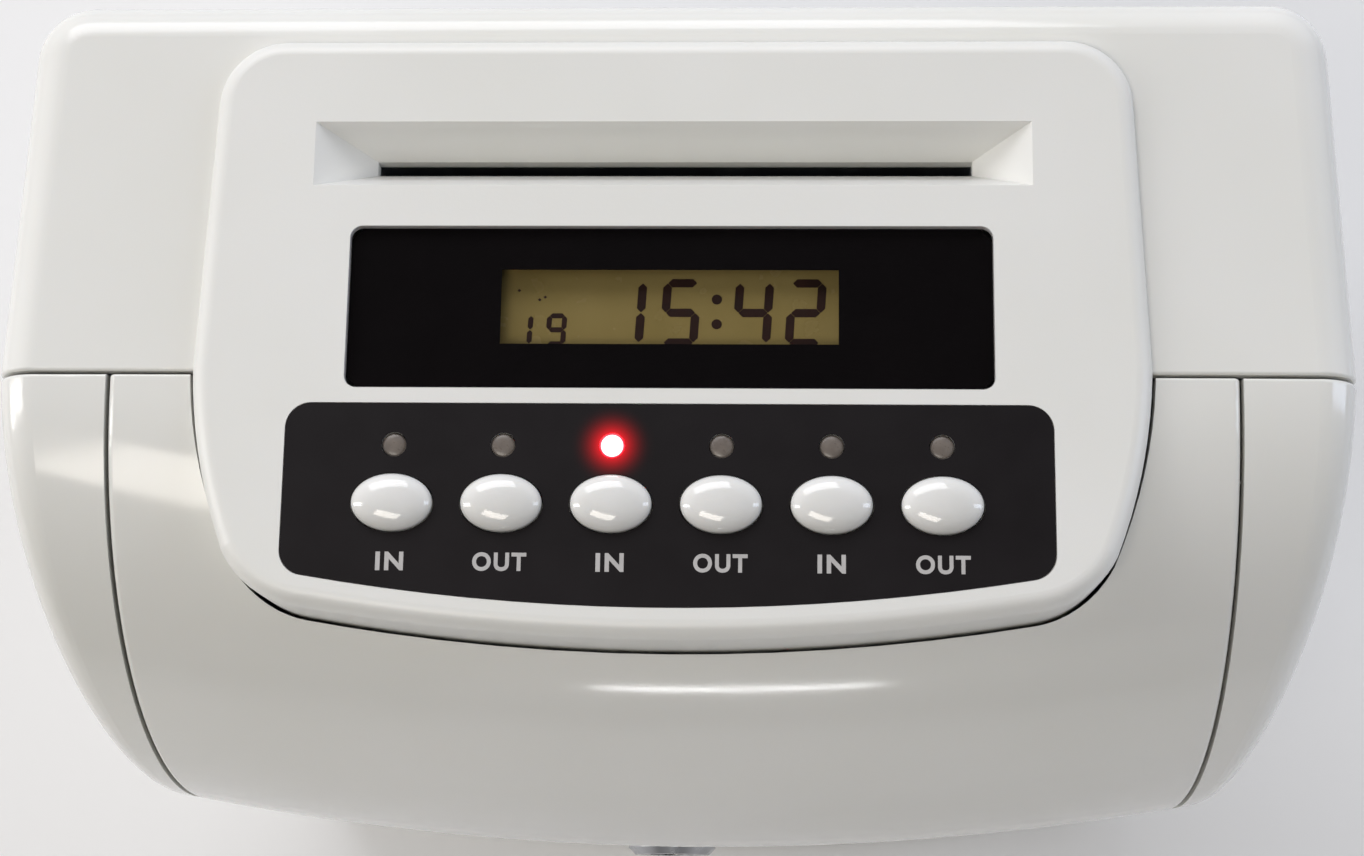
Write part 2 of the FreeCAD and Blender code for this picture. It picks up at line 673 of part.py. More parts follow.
def front_cover():
    """The hinged front cover, open at the back for the top panel."""
    half = SEAM_X - SEAM / 2
    shell = SHELL.common(box(-half, half, -FAR, -SEAM, COVER_BOTTOM, FAR))
    shell = shell.cut(panel_outline(PANEL_GAP, BODY_TOP - 60, BODY_TOP + 5))
    long_edges = outer_edges(shell, on_plane("x", half)) + outer_edges(shell, on_plane("x", -half))
    shell = shell.makeFillet(SEAM_ROUNDING, long_edges)
    shell = shell.makeFillet(PART_ROUNDING, outer_edges(shell, on_plane("y", -SEAM)))
    lugs = []
    for side in (-1, 1):
        x0 = side * HINGE_X - HINGE_LUG / 2
        eye = rod("x", x0, x0 + HINGE_LUG, HINGE_Y, HINGE_Z, HINGE_EYE_RADIUS)
        web = box(x0, x0 + HINGE_LUG, -FRONT_DEPTH, HINGE_Y, HINGE_Z - JOIN,
                  HINGE_Z + HINGE_EYE_RADIUS)
        lugs.append(fuse(eye, web).common(OUTER))
    pad = rod("y", LOCK_FACE + WALL / 2, LOCK_PAD_Y, LOCK_X, LOCK_Z,
              LOCK_BODY_RADIUS + LOCK_PAD_RIM)
    bore = rod("x", -HINGE_X - HINGE_LUG, HINGE_X + HINGE_LUG, HINGE_Y, HINGE_Z,
               HINGE_PIN_RADIUS + RUNNING)
    pocket = rod("y", -FAR, LOCK_SEAT, LOCK_X, LOCK_Z, LOCK_FLANGE_RADIUS + SEAT)
    hole = rod("y", -FAR, LOCK_PAD_Y + 1, LOCK_X, LOCK_Z, LOCK_BODY_RADIUS)
    return cut(fuse(shell, pad, *lugs), pocket, hole, bore)


def knuckle_spans():
    """The ends along X of the tray's four hinge knuckles."""
    reach = (HINGE_LUG + HINGE_KNUCKLE) / 2 + HINGE_SIDE_GAP
    middles = [side * HINGE_X + offset * reach for side in (-1, 1) for offset in (-1, 1)]
    return [(middle - HINGE_KNUCKLE / 2, middle + HINGE_KNUCKLE / 2) for middle in middles]


def base_tray():
    """The moulded base: floor, rim, lip inside the covers, bosses and hinge knuckles."""
    lip_in = WALL + SEAT + LIP_THICK
    block = OUTER.common(box(-FAR, FAR, -FAR, FAR, FOOT_HEIGHT, BASE_TOP))
    hollow = body_form(lip_in).common(box(-FAR, FAR, -FAR, FAR, FLOOR_TOP, FAR))
    lip = body_form(WALL + SEAT).common(box(-FAR, FAR, LIP_THICK, FAR, BASE_TOP - JOIN,
                                               BASE_TOP + LIP_HEIGHT))
    sill = box(-SEAM_X, SEAM_X, -FAR, HINGE_Y + SILL_DEPTH, SILL_TOP, FAR)
    tray = cut(fuse(block, lip), hollow, sill)
    bosses = [rod("z", FLOOR_TOP - JOIN, CHASSIS_FLOOR, x, y, BOSS_RADIUS) for x, y in deck_places()]
    knuckles = []
    for x0, x1 in knuckle_spans():
        eye = rod("x", x0, x1, HINGE_Y, HINGE_Z, HINGE_EYE_RADIUS)
        post_y = HINGE_Y + HINGE_POST
        arm = box(x0, x1, HINGE_Y, post_y + JOIN, HINGE_Z - JOIN, HINGE_Z + HINGE_EYE_RADIUS)
        post = box(x0, x1, post_y, post_y + HINGE_POST_THICK, FLOOR_TOP - JOIN,
                   HINGE_Z + HINGE_EYE_RADIUS)
        knuckles.append(fuse(eye, arm, post))
    pin_bore = rod("x", -SEAM_X, SEAM_X, HINGE_Y, HINGE_Z, HINGE_PIN_RADIUS)
    screw_bores = [rod("z", FLOOR_TOP, CHASSIS_FLOOR + 1, x, y, SCREW_RADIUS + SEAT)
                   for x, y in deck_places()]
    return cut(fuse(tray, *bosses, *knuckles), pin_bore, *screw_bores)


def deck_places():
    """Where the chassis is screwed to the base tray, as X and Y."""
    x = PLATE_X - DECK_SCREW_IN
    return [(side * x, y) for side in (-1, 1)
            for y in (CHASSIS_FOOT + DECK_SCREW_FRONT, CHASSIS_BACK - DECK_SCREW_BACK)]


def hinge_pins():
    """Two steel pins, pressed into the tray's knuckles."""
    reach = HINGE_LUG / 2 + HINGE_KNUCKLE + HINGE_SIDE_GAP
    return [rod("x", side * HINGE_X - reach, side * HINGE_X + reach, HINGE_Y, HINGE_Z,
                HINGE_PIN_RADIUS) for side in (-1, 1)]


def rubber_feet():
    """Four round feet under the tray."""
    back_y = REAR_DEPTH - FOOT_IN_BACK
    front_y = -FRONT_DEPTH + FOOT_IN_FRONT
    places = [(side * (HALF_WIDTH - FOOT_IN_X), y) for side in (-1, 1) for y in (front_y, back_y)]
    feet = []
    for x, y in places:
        foot = Part.makeCone(FOOT_RADIUS - FOOT_DRAFT, FOOT_RADIUS, FOOT_HEIGHT, Vector(x, y, 0))
        feet.append(foot)
    return feet


# ---------------------------------------------------------------- top panel and its parts
def funnel_mouth():
    """The sloping card mouth, from the panel's top down to the slit."""
    floor = PANEL_TOP - FUNNEL_DEPTH
    half = CARD_WIDTH / 2
    mouth = [Vector(-FUNNEL_HALF_WIDTH, FUNNEL_FRONT, PANEL_TOP),
             Vector(FUNNEL_HALF_WIDTH, FUNNEL_FRONT, PANEL_TOP),
             Vector(FUNNEL_HALF_WIDTH, FUNNEL_BACK, PANEL_TOP),
             Vector(-FUNNEL_HALF_WIDTH, FUNNEL_BACK, PANEL_TOP)]
    throat = [Vector(-half, CHUTE_FRONT, floor), Vector(half, CHUTE_FRONT, floor),
              Vector(half, CHUTE_BACK, floor), Vector(-half, CHUTE_BACK, floor)]
    wires = [Part.makePolygon(points + points[:1]) for points in (throat, mouth)]
    funnel = Part.makeLoft(wires, True, True)
    lid = box(-FUNNEL_HALF_WIDTH, FUNNEL_HALF_WIDTH, FUNNEL_FRONT, FUNNEL_BACK,
              PANEL_TOP, PANEL_TOP + 2)
    slit = box(-half, half, CHUTE_FRONT, CHUTE_BACK, FUNNEL_FLOOR - 1, floor + 0.5)
    return fuse(funnel, lid, slit)


def button_places():
    """The X of each button, from the left."""
    first = -BUTTON_PITCH * (BUTTON_COUNT - 1) / 2
    return [first + BUTTON_PITCH * number for number in range(BUTTON_COUNT)]


def oval(x, grow, z0, z1):
    """A button's oval, moved out by grow, as a prism."""
    long_half = BUTTON_LONG / 2 + grow
    short_half = BUTTON_SHORT / 2 + grow
    centre = Vector(x, BUTTON_Y, z0)
    ellipse = Part.Ellipse(centre + Vector(long_half, 0, 0), centre + Vector(0, short_half, 0), centre)
    return Part.Face(Part.Wire(ellipse.toShape())).extrude(Vector(0, 0, z1 - z0))


def overlay_form(grow, z0, z1):
    """The keypad overlay's plan, with a bowed front edge, as a prism."""
    half = OVERLAY_HALF_WIDTH + grow
    back = OVERLAY_BACK + grow
    side_front = OVERLAY_SIDE_FRONT - grow
    nose = Vector(0, OVERLAY_NOSE - grow, z0)
    edges = [Part.LineSegment(Vector(-half, back, z0), Vector(half, back, z0)).toShape(),
             Part.LineSegment(Vector(half, back, z0), Vector(half, side_front, z0)).toShape(),
             Part.Arc(Vector(half, side_front, z0), nose, Vector(-half, side_front, z0)).toShape(),
             Part.LineSegment(Vector(-half, side_front, z0), Vector(-half, back, z0)).toShape()]
    solid = Part.Face(Part.Wire(edges)).extrude(Vector(0, 0, z1 - z0))
    return round_corners(solid, OVERLAY_CORNER + grow)


def keypad_holes(z0, z1):
    """Cutters for the buttons and the indicator lights."""
    holes = [oval(x, BUTTON_CLEARANCE, z0, z1) for x in button_places()]
    return holes + [rod("z", z0, z1, x, LED_Y, LED_RADIUS + SEAT) for x in button_places()]


def board_screw_places():
    """Where the keypad board hangs from the top panel, as X and Y."""
    front = (KEYPAD_BOARD_HALF_WIDTH - KEYPAD_SCREW_FRONT[0], BUTTON_Y - KEYPAD_SCREW_FRONT[1])
    back = (KEYPAD_BOARD_HALF_WIDTH - KEYPAD_SCREW_BACK[0], WINDOW_BACK - KEYPAD_SCREW_BACK[1])
    return [(side * x, y) for side in (-1, 1) for x, y in (front, back)]


def top_panel():
    """The raised panel with the card mouth, the window's seat and the keypad's holes."""
    low = BODY_TOP - PANEL_SKIRT
    block = panel_outline(0, low, PANEL_TOP)
    rim = [edge for edge in block.Edges
           if min(vertex.Point.z for vertex in edge.Vertexes) > PANEL_TOP - 1e-6]
    block = block.makeFillet(PANEL_ROUNDING, rim)
    hollow = panel_outline(-PANEL_WALL, low - 1, BODY_TOP)
    rear = box(-FAR, FAR, -SEAM, FAR, low - 1, BODY_TOP)
    block = cut(block, hollow, rear)
    mouth_block = box(-FUNNEL_HALF_WIDTH - FUNNEL_WALL, FUNNEL_HALF_WIDTH + FUNNEL_WALL,
                      FUNNEL_FRONT - FUNNEL_WALL, FUNNEL_BACK + FUNNEL_WALL,
                      FUNNEL_FLOOR, BODY_TOP + 1)
    bosses = [rod("z", BOARD_TOP, BODY_TOP + JOIN, x, y, 2.5 * KEYPAD_SCREW_RADIUS)
              for x, y in board_screw_places()]
    block = fuse(block, mouth_block, *bosses)
    seat = plate_z(-WINDOW_HALF_WIDTH - SEAT, WINDOW_HALF_WIDTH + SEAT, WINDOW_FRONT - SEAT,
                   WINDOW_BACK + SEAT, window_floor(), PANEL_TOP + 1, WINDOW_CORNER)
    view = box(-VIEW_HALF_WIDTH - VIEW_FLARE, VIEW_HALF_WIDTH + VIEW_FLARE, VIEW_FRONT - VIEW_FLARE,
               VIEW_BACK + VIEW_FLARE, BODY_TOP - 1, PANEL_TOP)
    label = overlay_form(SEAT, PANEL_TOP - OVERLAY_THICK, PANEL_TOP + 1)
    screws = [rod("z", BOARD_TOP - 1, BODY_TOP, x, y, KEYPAD_SCREW_RADIUS + SEAT)
              for x, y in board_screw_places()]
    holes = keypad_holes(BODY_TOP - 1, PANEL_TOP + 1)
    return cut(block, funnel_mouth(), seat, view, label, *screws, *holes)


def window_floor():
    """Height of the ledge that the window and its mask lie on."""
    return PANEL_TOP - WINDOW_SINK - WINDOW_THICK - MASK_THICK


def window_sheet(z0, z1):
    """The window's outline as a sheet."""
    return plate_z(-WINDOW_HALF_WIDTH, WINDOW_HALF_WIDTH, WINDOW_FRONT, WINDOW_BACK,
                   z0, z1, WINDOW_CORNER - SEAT)


def window_mask():
    """The dark printed sheet under the window, open over the display."""
    low = window_floor()
    view = box(-VIEW_HALF_WIDTH, VIEW_HALF_WIDTH, VIEW_FRONT, VIEW_BACK, low - 1, low + 1)
    return window_sheet(low, low + MASK_THICK).cut(view)


def keypad_overlay():
    """The thin keypad label with its holes."""
    low = PANEL_TOP - OVERLAY_THICK
    sheet = overlay_form(0, low, PANEL_TOP)
    return cut(sheet, *keypad_holes(low - 1, PANEL_TOP + 1))


def button(x):
    """A domed oval push button with a retaining flange and a stem."""
    straight_top = PANEL_TOP + BUTTON_PROUD
    cap = oval(x, 0, BODY_TOP - BUTTON_FLANGE_THICK, straight_top + BUTTON_DOME)
    crown = [edge for edge in cap.Edges
             if min(vertex.Point.z for vertex in edge.Vertexes) > straight_top]
    cap = cap.makeFillet(BUTTON_DOME * 0.98, crown)
    flange_top = BODY_TOP - SEAT
    flange = oval(x, BUTTON_FLANGE, flange_top - BUTTON_FLANGE_THICK, flange_top)
    stem = rod("z", BUTTON_STEM_END, BODY_TOP - JOIN, x, BUTTON_Y, BUTTON_STEM_RADIUS)
    return fuse(cap, flange, stem)


def indicator(x):
    """A round indicator light, from the keypad board to just below the panel's top."""
    lens = rod("z", BOARD_TOP, PANEL_TOP - LED_SINK, x, LED_Y, LED_RADIUS)
    return fuse(lens, rod("z", BOARD_TOP, BOARD_TOP + 1, x, LED_Y, LED_RADIUS + LED_FLANGE))


def tact_switch(x):
    """A small switch under a button."""
    half = TACT_SIDE / 2
    body = box(x - half, x + half, BUTTON_Y - half, BUTTON_Y + half, BOARD_TOP,
               BOARD_TOP + TACT_HEIGHT - TACT_PLUNGER)
    return fuse(body, rod("z", BOARD_TOP, BOARD_TOP + TACT_HEIGHT, x, BUTTON_Y, TACT_PLUNGER_RADIUS))


def keypad_board():
    """The board that carries the switches, the lights and the display."""
    low = BOARD_TOP - BOARD_THICK
    board = plate_z(-KEYPAD_BOARD_HALF_WIDTH, KEYPAD_BOARD_HALF_WIDTH, KEYPAD_BOARD_FRONT,
                    WINDOW_BACK + 1, low, BOARD_TOP, WINDOW_CORNER)
    holes = [rod("z", low - 1, BOARD_TOP + 1, x, y, SCREW_RADIUS) for x, y in board_screw_places()]
    return cut(board, *holes)


def board_screw(x, y):
    """A short screw that holds the keypad board to the panel."""
    low = BOARD_TOP - BOARD_THICK
    head = rod("z", low - KEYPAD_SCREW_HEAD, low, x, y, KEYPAD_SCREW_HEAD_RADIUS)
    shank = rod("z", low - JOIN, BOARD_TOP + KEYPAD_SCREW_LENGTH, x, y, KEYPAD_SCREW_RADIUS)
    return fuse(head, shank)


def lcd_block(z0, z1, grow):
    """A block over the display's area."""
    return box(-LCD_HALF_WIDTH - grow, LCD_HALF_WIDTH + grow, LCD_Y - LCD_HALF_HEIGHT - grow,
               LCD_Y + LCD_HALF_HEIGHT + grow, z0, z1)


def lcd_frame():
    """The moulded frame that stands on the board and holds the display and its light."""
    outside = lcd_block(BOARD_TOP, LCD_TOP, LCD_FRAME)
    return outside.cut(lcd_block(LCD_TOP - LCD_THICK, LCD_TOP + 1, SEAT))


# ---------------------------------------------------------------- lock
def lock_body():
    """The lock's flanged body, bored for its plug."""
    flange = rod("y", LOCK_NOSE, LOCK_SEAT, LOCK_X, LOCK_Z, LOCK_FLANGE_RADIUS)
    rim = [edge for edge in flange.Edges if edge.BoundBox.YMax < LOCK_NOSE + 0.01]
    flange = flange.makeChamfer(LOCK_CHAMFER, rim)
    barrel = rod("y", LOCK_NOSE + 1, LOCK_END, LOCK_X, LOCK_Z, LOCK_BODY_RADIUS)
    bore = rod("y", LOCK_NOSE - 1, LOCK_END + 1, LOCK_X, LOCK_Z, LOCK_PLUG_RADIUS + RUNNING)
    return fuse(flange, barrel).cut(bore)


def lock_nut():
    """The hexagonal nut inside the front cover."""
    radius = (LOCK_BODY_RADIUS + LOCK_NUT_WALL) / math.cos(math.radians(30))
    corners = []
    for step in range(7):
        angle = math.radians(60 * step)
        corners.append(Vector(LOCK_X + radius * math.cos(angle), LOCK_PAD_Y,
                              LOCK_Z + radius * math.sin(angle)))
    block = Part.Face(Part.makePolygon(corners)).extrude(Vector(0, LOCK_NUT_THICK, 0))
    return block.cut(rod("y", LOCK_PAD_Y - 1, LOCK_END, LOCK_X, LOCK_Z, LOCK_BODY_RADIUS))


def lock_plug():
    """The turning plug with its keyway and the riveted tail that holds the cam."""
    end = CAM_Y + CAM_THICK + CAM_RIVET
    plug = rod("y", LOCK_NOSE + LOCK_PLUG_SINK, CAM_Y, LOCK_X, LOCK_Z, LOCK_PLUG_RADIUS)
    tail = rod("y", CAM_Y - JOIN, end, LOCK_X, LOCK_Z, CAM_RIVET_RADIUS)
    head = rod("y", CAM_Y + CAM_THICK, end, LOCK_X, LOCK_Z, LOCK_PLUG_RADIUS)
    plug = fuse(plug, tail, head)
    keyway = box(LOCK_X - KEYWAY_HALF_WIDTH, LOCK_X + KEYWAY_HALF_WIDTH, LOCK_NOSE,
                 LOCK_NOSE + KEYWAY_DEPTH, LOCK_Z - KEYWAY_HALF_HEIGHT, LOCK_Z + KEYWAY_HALF_HEIGHT)
    return plug.cut(keyway)


def lock_cam():
    """The flat cam, pointing sideways while the cover is unlocked."""
    reach = LOCK_X + CAM_REACH - CAM_WIDTH / 2
    arm = box(LOCK_X, reach, CAM_Y, CAM_Y + CAM_THICK,
              LOCK_Z - CAM_WIDTH / 2, LOCK_Z + CAM_WIDTH / 2)
    ends = [rod("y", CAM_Y, CAM_Y + CAM_THICK, x, LOCK_Z, CAM_WIDTH / 2)
            for x in (LOCK_X, reach)]
    hole = rod("y", CAM_Y - 1, CAM_Y + CAM_THICK + 1, LOCK_X, LOCK_Z, CAM_RIVET_RADIUS)
    return fuse(arm, *ends).cut(hole)


# ---------------------------------------------------------------- chassis
def chassis_plate():
    """The right chassis plate with its rear flange and the holes for shafts."""
    slope_z = CHASSIS_TOP - CHASSIS_SLOPE_HEIGHT
    slope_y = chassis_front(slope_z)
    profile = [(CHASSIS_FOOT, CHASSIS_DECK), (CHASSIS_BACK + PLATE, CHASSIS_DECK),
               (CHASSIS_BACK + PLATE, CHASSIS_TOP), (slope_y + CHASSIS_SLOPE_DEPTH, CHASSIS_TOP),
               (slope_y, slope_z)]
    plate = section_x(profile, PLATE_X, PLATE_OUT)
    flange = box(PLATE_X - FLANGE_WIDTH, PLATE_X, CHASSIS_BACK, CHASSIS_BACK + PLATE,
                 CHASSIS_DECK, CHASSIS_TOP)
    bush = BUSH_WALL + RUNNING
    holes = [rod("x", PLATE_X - 1, PLATE_OUT + 1, FEED_Y, FEED_Z, SHAFT_RADIUS + bush),
             rod("x", PLATE_X - 1, PLATE_OUT + 1, PINCH_Y, FEED_Z, SHAFT_RADIUS + bush),
             rod("x", PLATE_X - 1, PLATE_OUT + 1, CARRIAGE_Y, SCREW_Z, SHAFT_RADIUS + bush),
             rod("x", PLATE_X - 1, PLATE_OUT + 1, CARRIAGE_Y, ROD_Z, ROD_RADIUS)]
    holes += [rod("x", PLATE_X - 1, PLATE_OUT + 1, y, z, SCREW_RADIUS + SEAT)
              for y, z in side_boss_places()]
    holes += [rod("y", CHASSIS_BACK - 1, CHASSIS_BACK + 3, x, z, SCREW_RADIUS + SEAT)
              for x, z in rear_screw_places() if x > 0]
    places = [(x, z) for x, z in standoff_places() if x > 0]
    studs = [rod("y", BOARD_Y + BOARD_THICK, CHASSIS_BACK + 1, x, z, STUD_RADIUS)
             for x, z in places]
    holes += [rod("y", BOARD_Y, CHASSIS_BACK, x, z, SCREW_RADIUS) for x, z in places]
    return cut(fuse(plate, flange, *studs), *holes)


def chassis_deck():
    """The flat base plate of the chassis."""
    deck = box(-PLATE_OUT, PLATE_OUT, CHASSIS_FOOT, CHASSIS_BACK + PLATE, CHASSIS_FLOOR, CHASSIS_DECK)
    knuckle_room = box(-HINGE_X - HINGE_LUG - 5, HINGE_X + HINGE_LUG + 5, -FAR,
                       HINGE_Y + HINGE_POST + HINGE_POST_THICK + 1, CHASSIS_FLOOR - 1, CHASSIS_DECK + 1)
    holes = [rod("z", CHASSIS_FLOOR - 1, CHASSIS_DECK + 1, x, y, SCREW_RADIUS + SEAT)
             for x, y in deck_places()]
    return cut(deck, knuckle_room, *holes)


def tie_bar():
    """The bar across the chassis that the lock's cam turns behind."""
    high = LOCK_Z - CAM_WIDTH
    front = chassis_front(high - TIE_HEIGHT)
    return box(-PLATE_X, PLATE_X, front, front + PLATE, high - TIE_HEIGHT, high)


def deck_screw(x, y):
    """A screw through the base plate into a tray boss."""
    head = rod("z", CHASSIS_DECK, CHASSIS_DECK + SCREW_HEAD, x, y, SCREW_HEAD_RADIUS)
    return fuse(head, rod("z", FLOOR_TOP + 2, CHASSIS_DECK + 1, x, y, SCREW_RADIUS))


def rear_screw(x, z):
    """A screw that holds the rear cover to the chassis flange."""
    head = rod("y", REAR_DEPTH - SCREW_HEAD, REAR_DEPTH, x, z, SCREW_HEAD_RADIUS)
    shank = rod("y", CHASSIS_BACK - 1, REAR_DEPTH - 1, x, z, SCREW_RADIUS)
    cross = [box(x - a, x + a, REAR_DEPTH - 1, REAR_DEPTH + 1, z - b, z + b)
             for a, b in ((CROSS_LONG, CROSS_WIDE), (CROSS_WIDE, CROSS_LONG))]
    return cut(fuse(head, shank), *cross)


def side_screw(y, z):
    """A screw that holds the right side cover to its chassis plate."""
    head = rod("x", PLATE_X - SCREW_HEAD, PLATE_X, y, z, SCREW_HEAD_RADIUS)
    return fuse(head, rod("x", PLATE_X - 1, PLATE_OUT + SIDE_SCREW_LENGTH, y, z, SCREW_RADIUS))


def guide(front, back, holes):
    """A card guide sheet with ears out to the chassis plates."""
    sheet = box(-GUIDE_HALF_WIDTH, GUIDE_HALF_WIDTH, front, back, CHUTE_BOTTOM, GUIDE_TOP)
    ears = box(-PLATE_X, PLATE_X, front, back, EAR_LOW, BODY_TOP - EAR_DROP)
    return cut(fuse(sheet, ears), *holes)


def roller_windows(half_height):
    """Cutters for the rollers in the card guides."""
    margin = ROLLER_WIDTH / 2 + 1
    return [box(x - margin, x + margin, CARD_Y - 12, CARD_Y + 12, FEED_Z - half_height,
                FEED_Z + half_height) for x in (-ROLLER_X, ROLLER_X)]


def card_guide_front():
    """The sheet in front of the card, open at the print line."""
    print_window = box(-WINDOW_REACH, WINDOW_REACH, CARD_Y - 12, CARD_Y,
                       PRINT_Z - WINDOW_HEIGHT / 2, PRINT_Z + WINDOW_HEIGHT / 2)
    holes = [print_window] + roller_windows(FEED_ROLLER_RADIUS + ROLLER_ROOM)
    return guide(CHUTE_FRONT - GUIDE_SHEET, CHUTE_FRONT, holes)


def card_guide_rear():
    """The sheet behind the card, with side strips and a stop at the bottom."""
    platen = platen_block(SEAT)
    sheet = guide(CHUTE_BACK, CHUTE_BACK + GUIDE_SHEET,
                  [platen] + roller_windows(PINCH_ROLLER_RADIUS + ROLLER_ROOM))
    strip = box(CARD_WIDTH / 2, GUIDE_HALF_WIDTH, CHUTE_FRONT, CHUTE_BACK, CHUTE_BOTTOM, GUIDE_TOP)
    stop = box(-GUIDE_HALF_WIDTH, GUIDE_HALF_WIDTH, CHUTE_FRONT, CHUTE_BACK,
               CHUTE_BOTTOM, CHUTE_BOTTOM + CARD_STOP)
    return fuse(sheet, *both_sides(strip), stop)


def platen_block(grow):
    """The platen behind the print line."""
    half = WINDOW_REACH - PLATEN_SHORT + grow
    height = RIBBON_HEIGHT / 2 + grow
    return box(-half, half, CHUTE_BACK, CHUTE_BACK + PLATEN_DEPTH, PRINT_Z - height, PRINT_Z + height)


def platen():
    """The rubber-faced platen bar with arms to the rear guide."""
    back = CHUTE_BACK + PLATEN_DEPTH
    inner = WINDOW_REACH - PLATEN_ARM_IN
    arm = box(inner, inner + PLATEN_ARM, CHUTE_BACK + GUIDE_SHEET, back,
              PRINT_Z - RIBBON_HEIGHT / 2, PRINT_Z + RIBBON_HEIGHT / 2)
    return fuse(platen_block(0), *both_sides(arm))


# ---------------------------------------------------------------- drives
def involute_points(base, root, tip, half_angle, steps=5):
    """One flank of a tooth as (radius, angle) pairs, from the root to the tip."""
    pitch_roll = math.acos(min(1.0, base / ((root + tip) / 2)))
    pitch_inv = math.tan(pitch_roll) - pitch_roll
    points = []
    start = max(base, root)
    for step in range(steps + 1):
        radius = start + (tip - start) * step / steps
        roll = math.acos(min(1.0, base / radius))
        inv = math.tan(roll) - roll
        points.append((radius, half_angle - (inv - pitch_inv)))
    if root < base:
        points.insert(0, (root, points[0][1]))
    return points


def gear(teeth, x0, y, z, turn):
    """A spur gear along X; turn is the angle of its first tooth from +Y, in degrees."""
    pitch = teeth * MODULE / 2
    base = pitch * math.cos(math.radians(20))
    tip = pitch + 0.85 * MODULE
    root = pitch - 1.2 * MODULE
    half = math.radians(90.0 / teeth) - 0.09 * MODULE / pitch
    flank = involute_points(base, root, tip, half)
    corners = []
    for tooth in range(teeth):
        middle = math.radians(turn) + 2 * math.pi * tooth / teeth
        for radius, angle in flank:
            corners.append((radius, middle - angle))
        for radius, angle in reversed(flank):
            corners.append((radius, middle + angle))
    points = [Vector(x0, y + r * math.cos(a), z + r * math.sin(a)) for r, a in corners]
    return Part.Face(Part.makePolygon(points + points[:1])).extrude(Vector(GEAR_WIDTH, 0, 0))


def roller(x, y, radius):
    """A rubber roller on a card shaft, as a sleeve."""
    half = ROLLER_WIDTH / 2
    sleeve = rod("x", x - half, x + half, y, FEED_Z, radius)
    return sleeve.cut(rod("x", x - half - 1, x + half + 1, y, FEED_Z, SHAFT_RADIUS))


def bush(side, y, z, radius):
    """A flanged plain bearing in a chassis plate."""
    inner, outer = PLATE_X, PLATE_OUT
    sleeve = rod("x", inner, outer, y, z, radius + RUNNING + BUSH_WALL)
    flange = rod("x", inner - BUSH_FLANGE, inner, y, z, radius + RUNNING + BUSH_WALL + BUSH_FLANGE)
    solid = fuse(sleeve, flange).cut(rod("x", inner - 3, outer + 3, y, z, radius + RUNNING))
    return solid if side > 0 else mirror(solid)


def bushes():
    """The bearings of the feed shaft, the pinch shaft and the lead screw."""
    places = [(FEED_Y, FEED_Z), (PINCH_Y, FEED_Z), (CARRIAGE_Y, SCREW_Z)]
    return [bush(side, y, z, SHAFT_RADIUS) for side in (-1, 1) for y, z in places]


def shaft_with_journals(left, right, y, z, radius):
    """A shaft that is thicker between its journals."""
    journal = rod("x", left, right, y, z, SHAFT_RADIUS)
    inside = PLATE_X - JOURNAL_IN
    return fuse(journal, rod("x", -inside, inside, y, z, radius))


def motor(side, y, z):
    """A stepper motor on the inside of a chassis plate, bored for its shaft."""
    half = MOTOR_SIDE / 2
    body = box(PLATE_X - MOTOR_LENGTH, PLATE_X, y - half, y + half, z - half, z + half)
    edges = [edge for edge in body.Edges
             if abs(edge.Vertexes[0].Point.x - edge.Vertexes[-1].Point.x) > 1]
    body = body.makeChamfer(MOTOR_CHAMFER, edges)
    solid = body.cut(rod("x", PLATE_X - MOTOR_BORE, PLATE_X + 1, y, z, SHAFT_RADIUS + RUNNING))
    return solid if side > 0 else mirror(solid)


def plate_with_motor(side, y, z):
    """A chassis plate with the clearance hole of its motor's shaft."""
    plate = chassis_plate().cut(rod("x", PLATE_X - 1, PLATE_OUT + 1, y, z, SHAFT_RADIUS + 1))
    return plate if side > 0 else mirror(plate)


def pinion(side, y, z, turn):
    """A motor's pinion and shaft as one piece."""
    wheel = gear(PINION_TEETH, GEAR_X, y, z, turn)
    shaft = rod("x", PLATE_X - PINION_SHAFT, GEAR_X + GEAR_WIDTH, y, z, SHAFT_RADIUS)
    solid = fuse(wheel, shaft)
    return solid if side > 0 else mirror(solid)


def bored_gear(side, teeth, y, z, turn):
    """A gear bored for the shaft that carries it."""
    wheel = gear(teeth, GEAR_X, y, z, turn)
    wheel = wheel.cut(rod("x", GEAR_X - 1, GEAR_X + GEAR_WIDTH + 1, y, z, SHAFT_RADIUS))
    return wheel if side > 0 else mirror(wheel)


# ---------------------------------------------------------------- printer
def carriage():
    """The carriage on the guide rod and the lead screw."""
    half = CARRIAGE_DEPTH / 2
    block = box(-CARRIAGE_HALF_WIDTH, CARRIAGE_HALF_WIDTH, CARRIAGE_Y - half, CARRIAGE_Y + half,
                CARRIAGE_LOW, CARRIAGE_TOP)
    ends = (-CARRIAGE_HALF_WIDTH - 1, CARRIAGE_HALF_WIDTH + 1)
    rod_bore = rod("x", ends[0], ends[1], CARRIAGE_Y, ROD_Z, ROD_RADIUS + RUNNING)
    nut_bore = rod("x", ends[0], ends[1], CARRIAGE_Y, SCREW_Z, LEAD_SCREW_RADIUS + NUT_WALL)
    return cut(block, rod_bore, nut_bore)


def carriage_nut():
    """The brass nut in the carriage, on the lead screw."""
    sleeve = rod("x", -CARRIAGE_HALF_WIDTH, CARRIAGE_HALF_WIDTH, CARRIAGE_Y, SCREW_Z,
                 LEAD_SCREW_RADIUS + NUT_WALL)
    return sleeve.cut(rod("x", -FAR, FAR, CARRIAGE_Y, SCREW_Z, LEAD_SCREW_RADIUS + RUNNING))


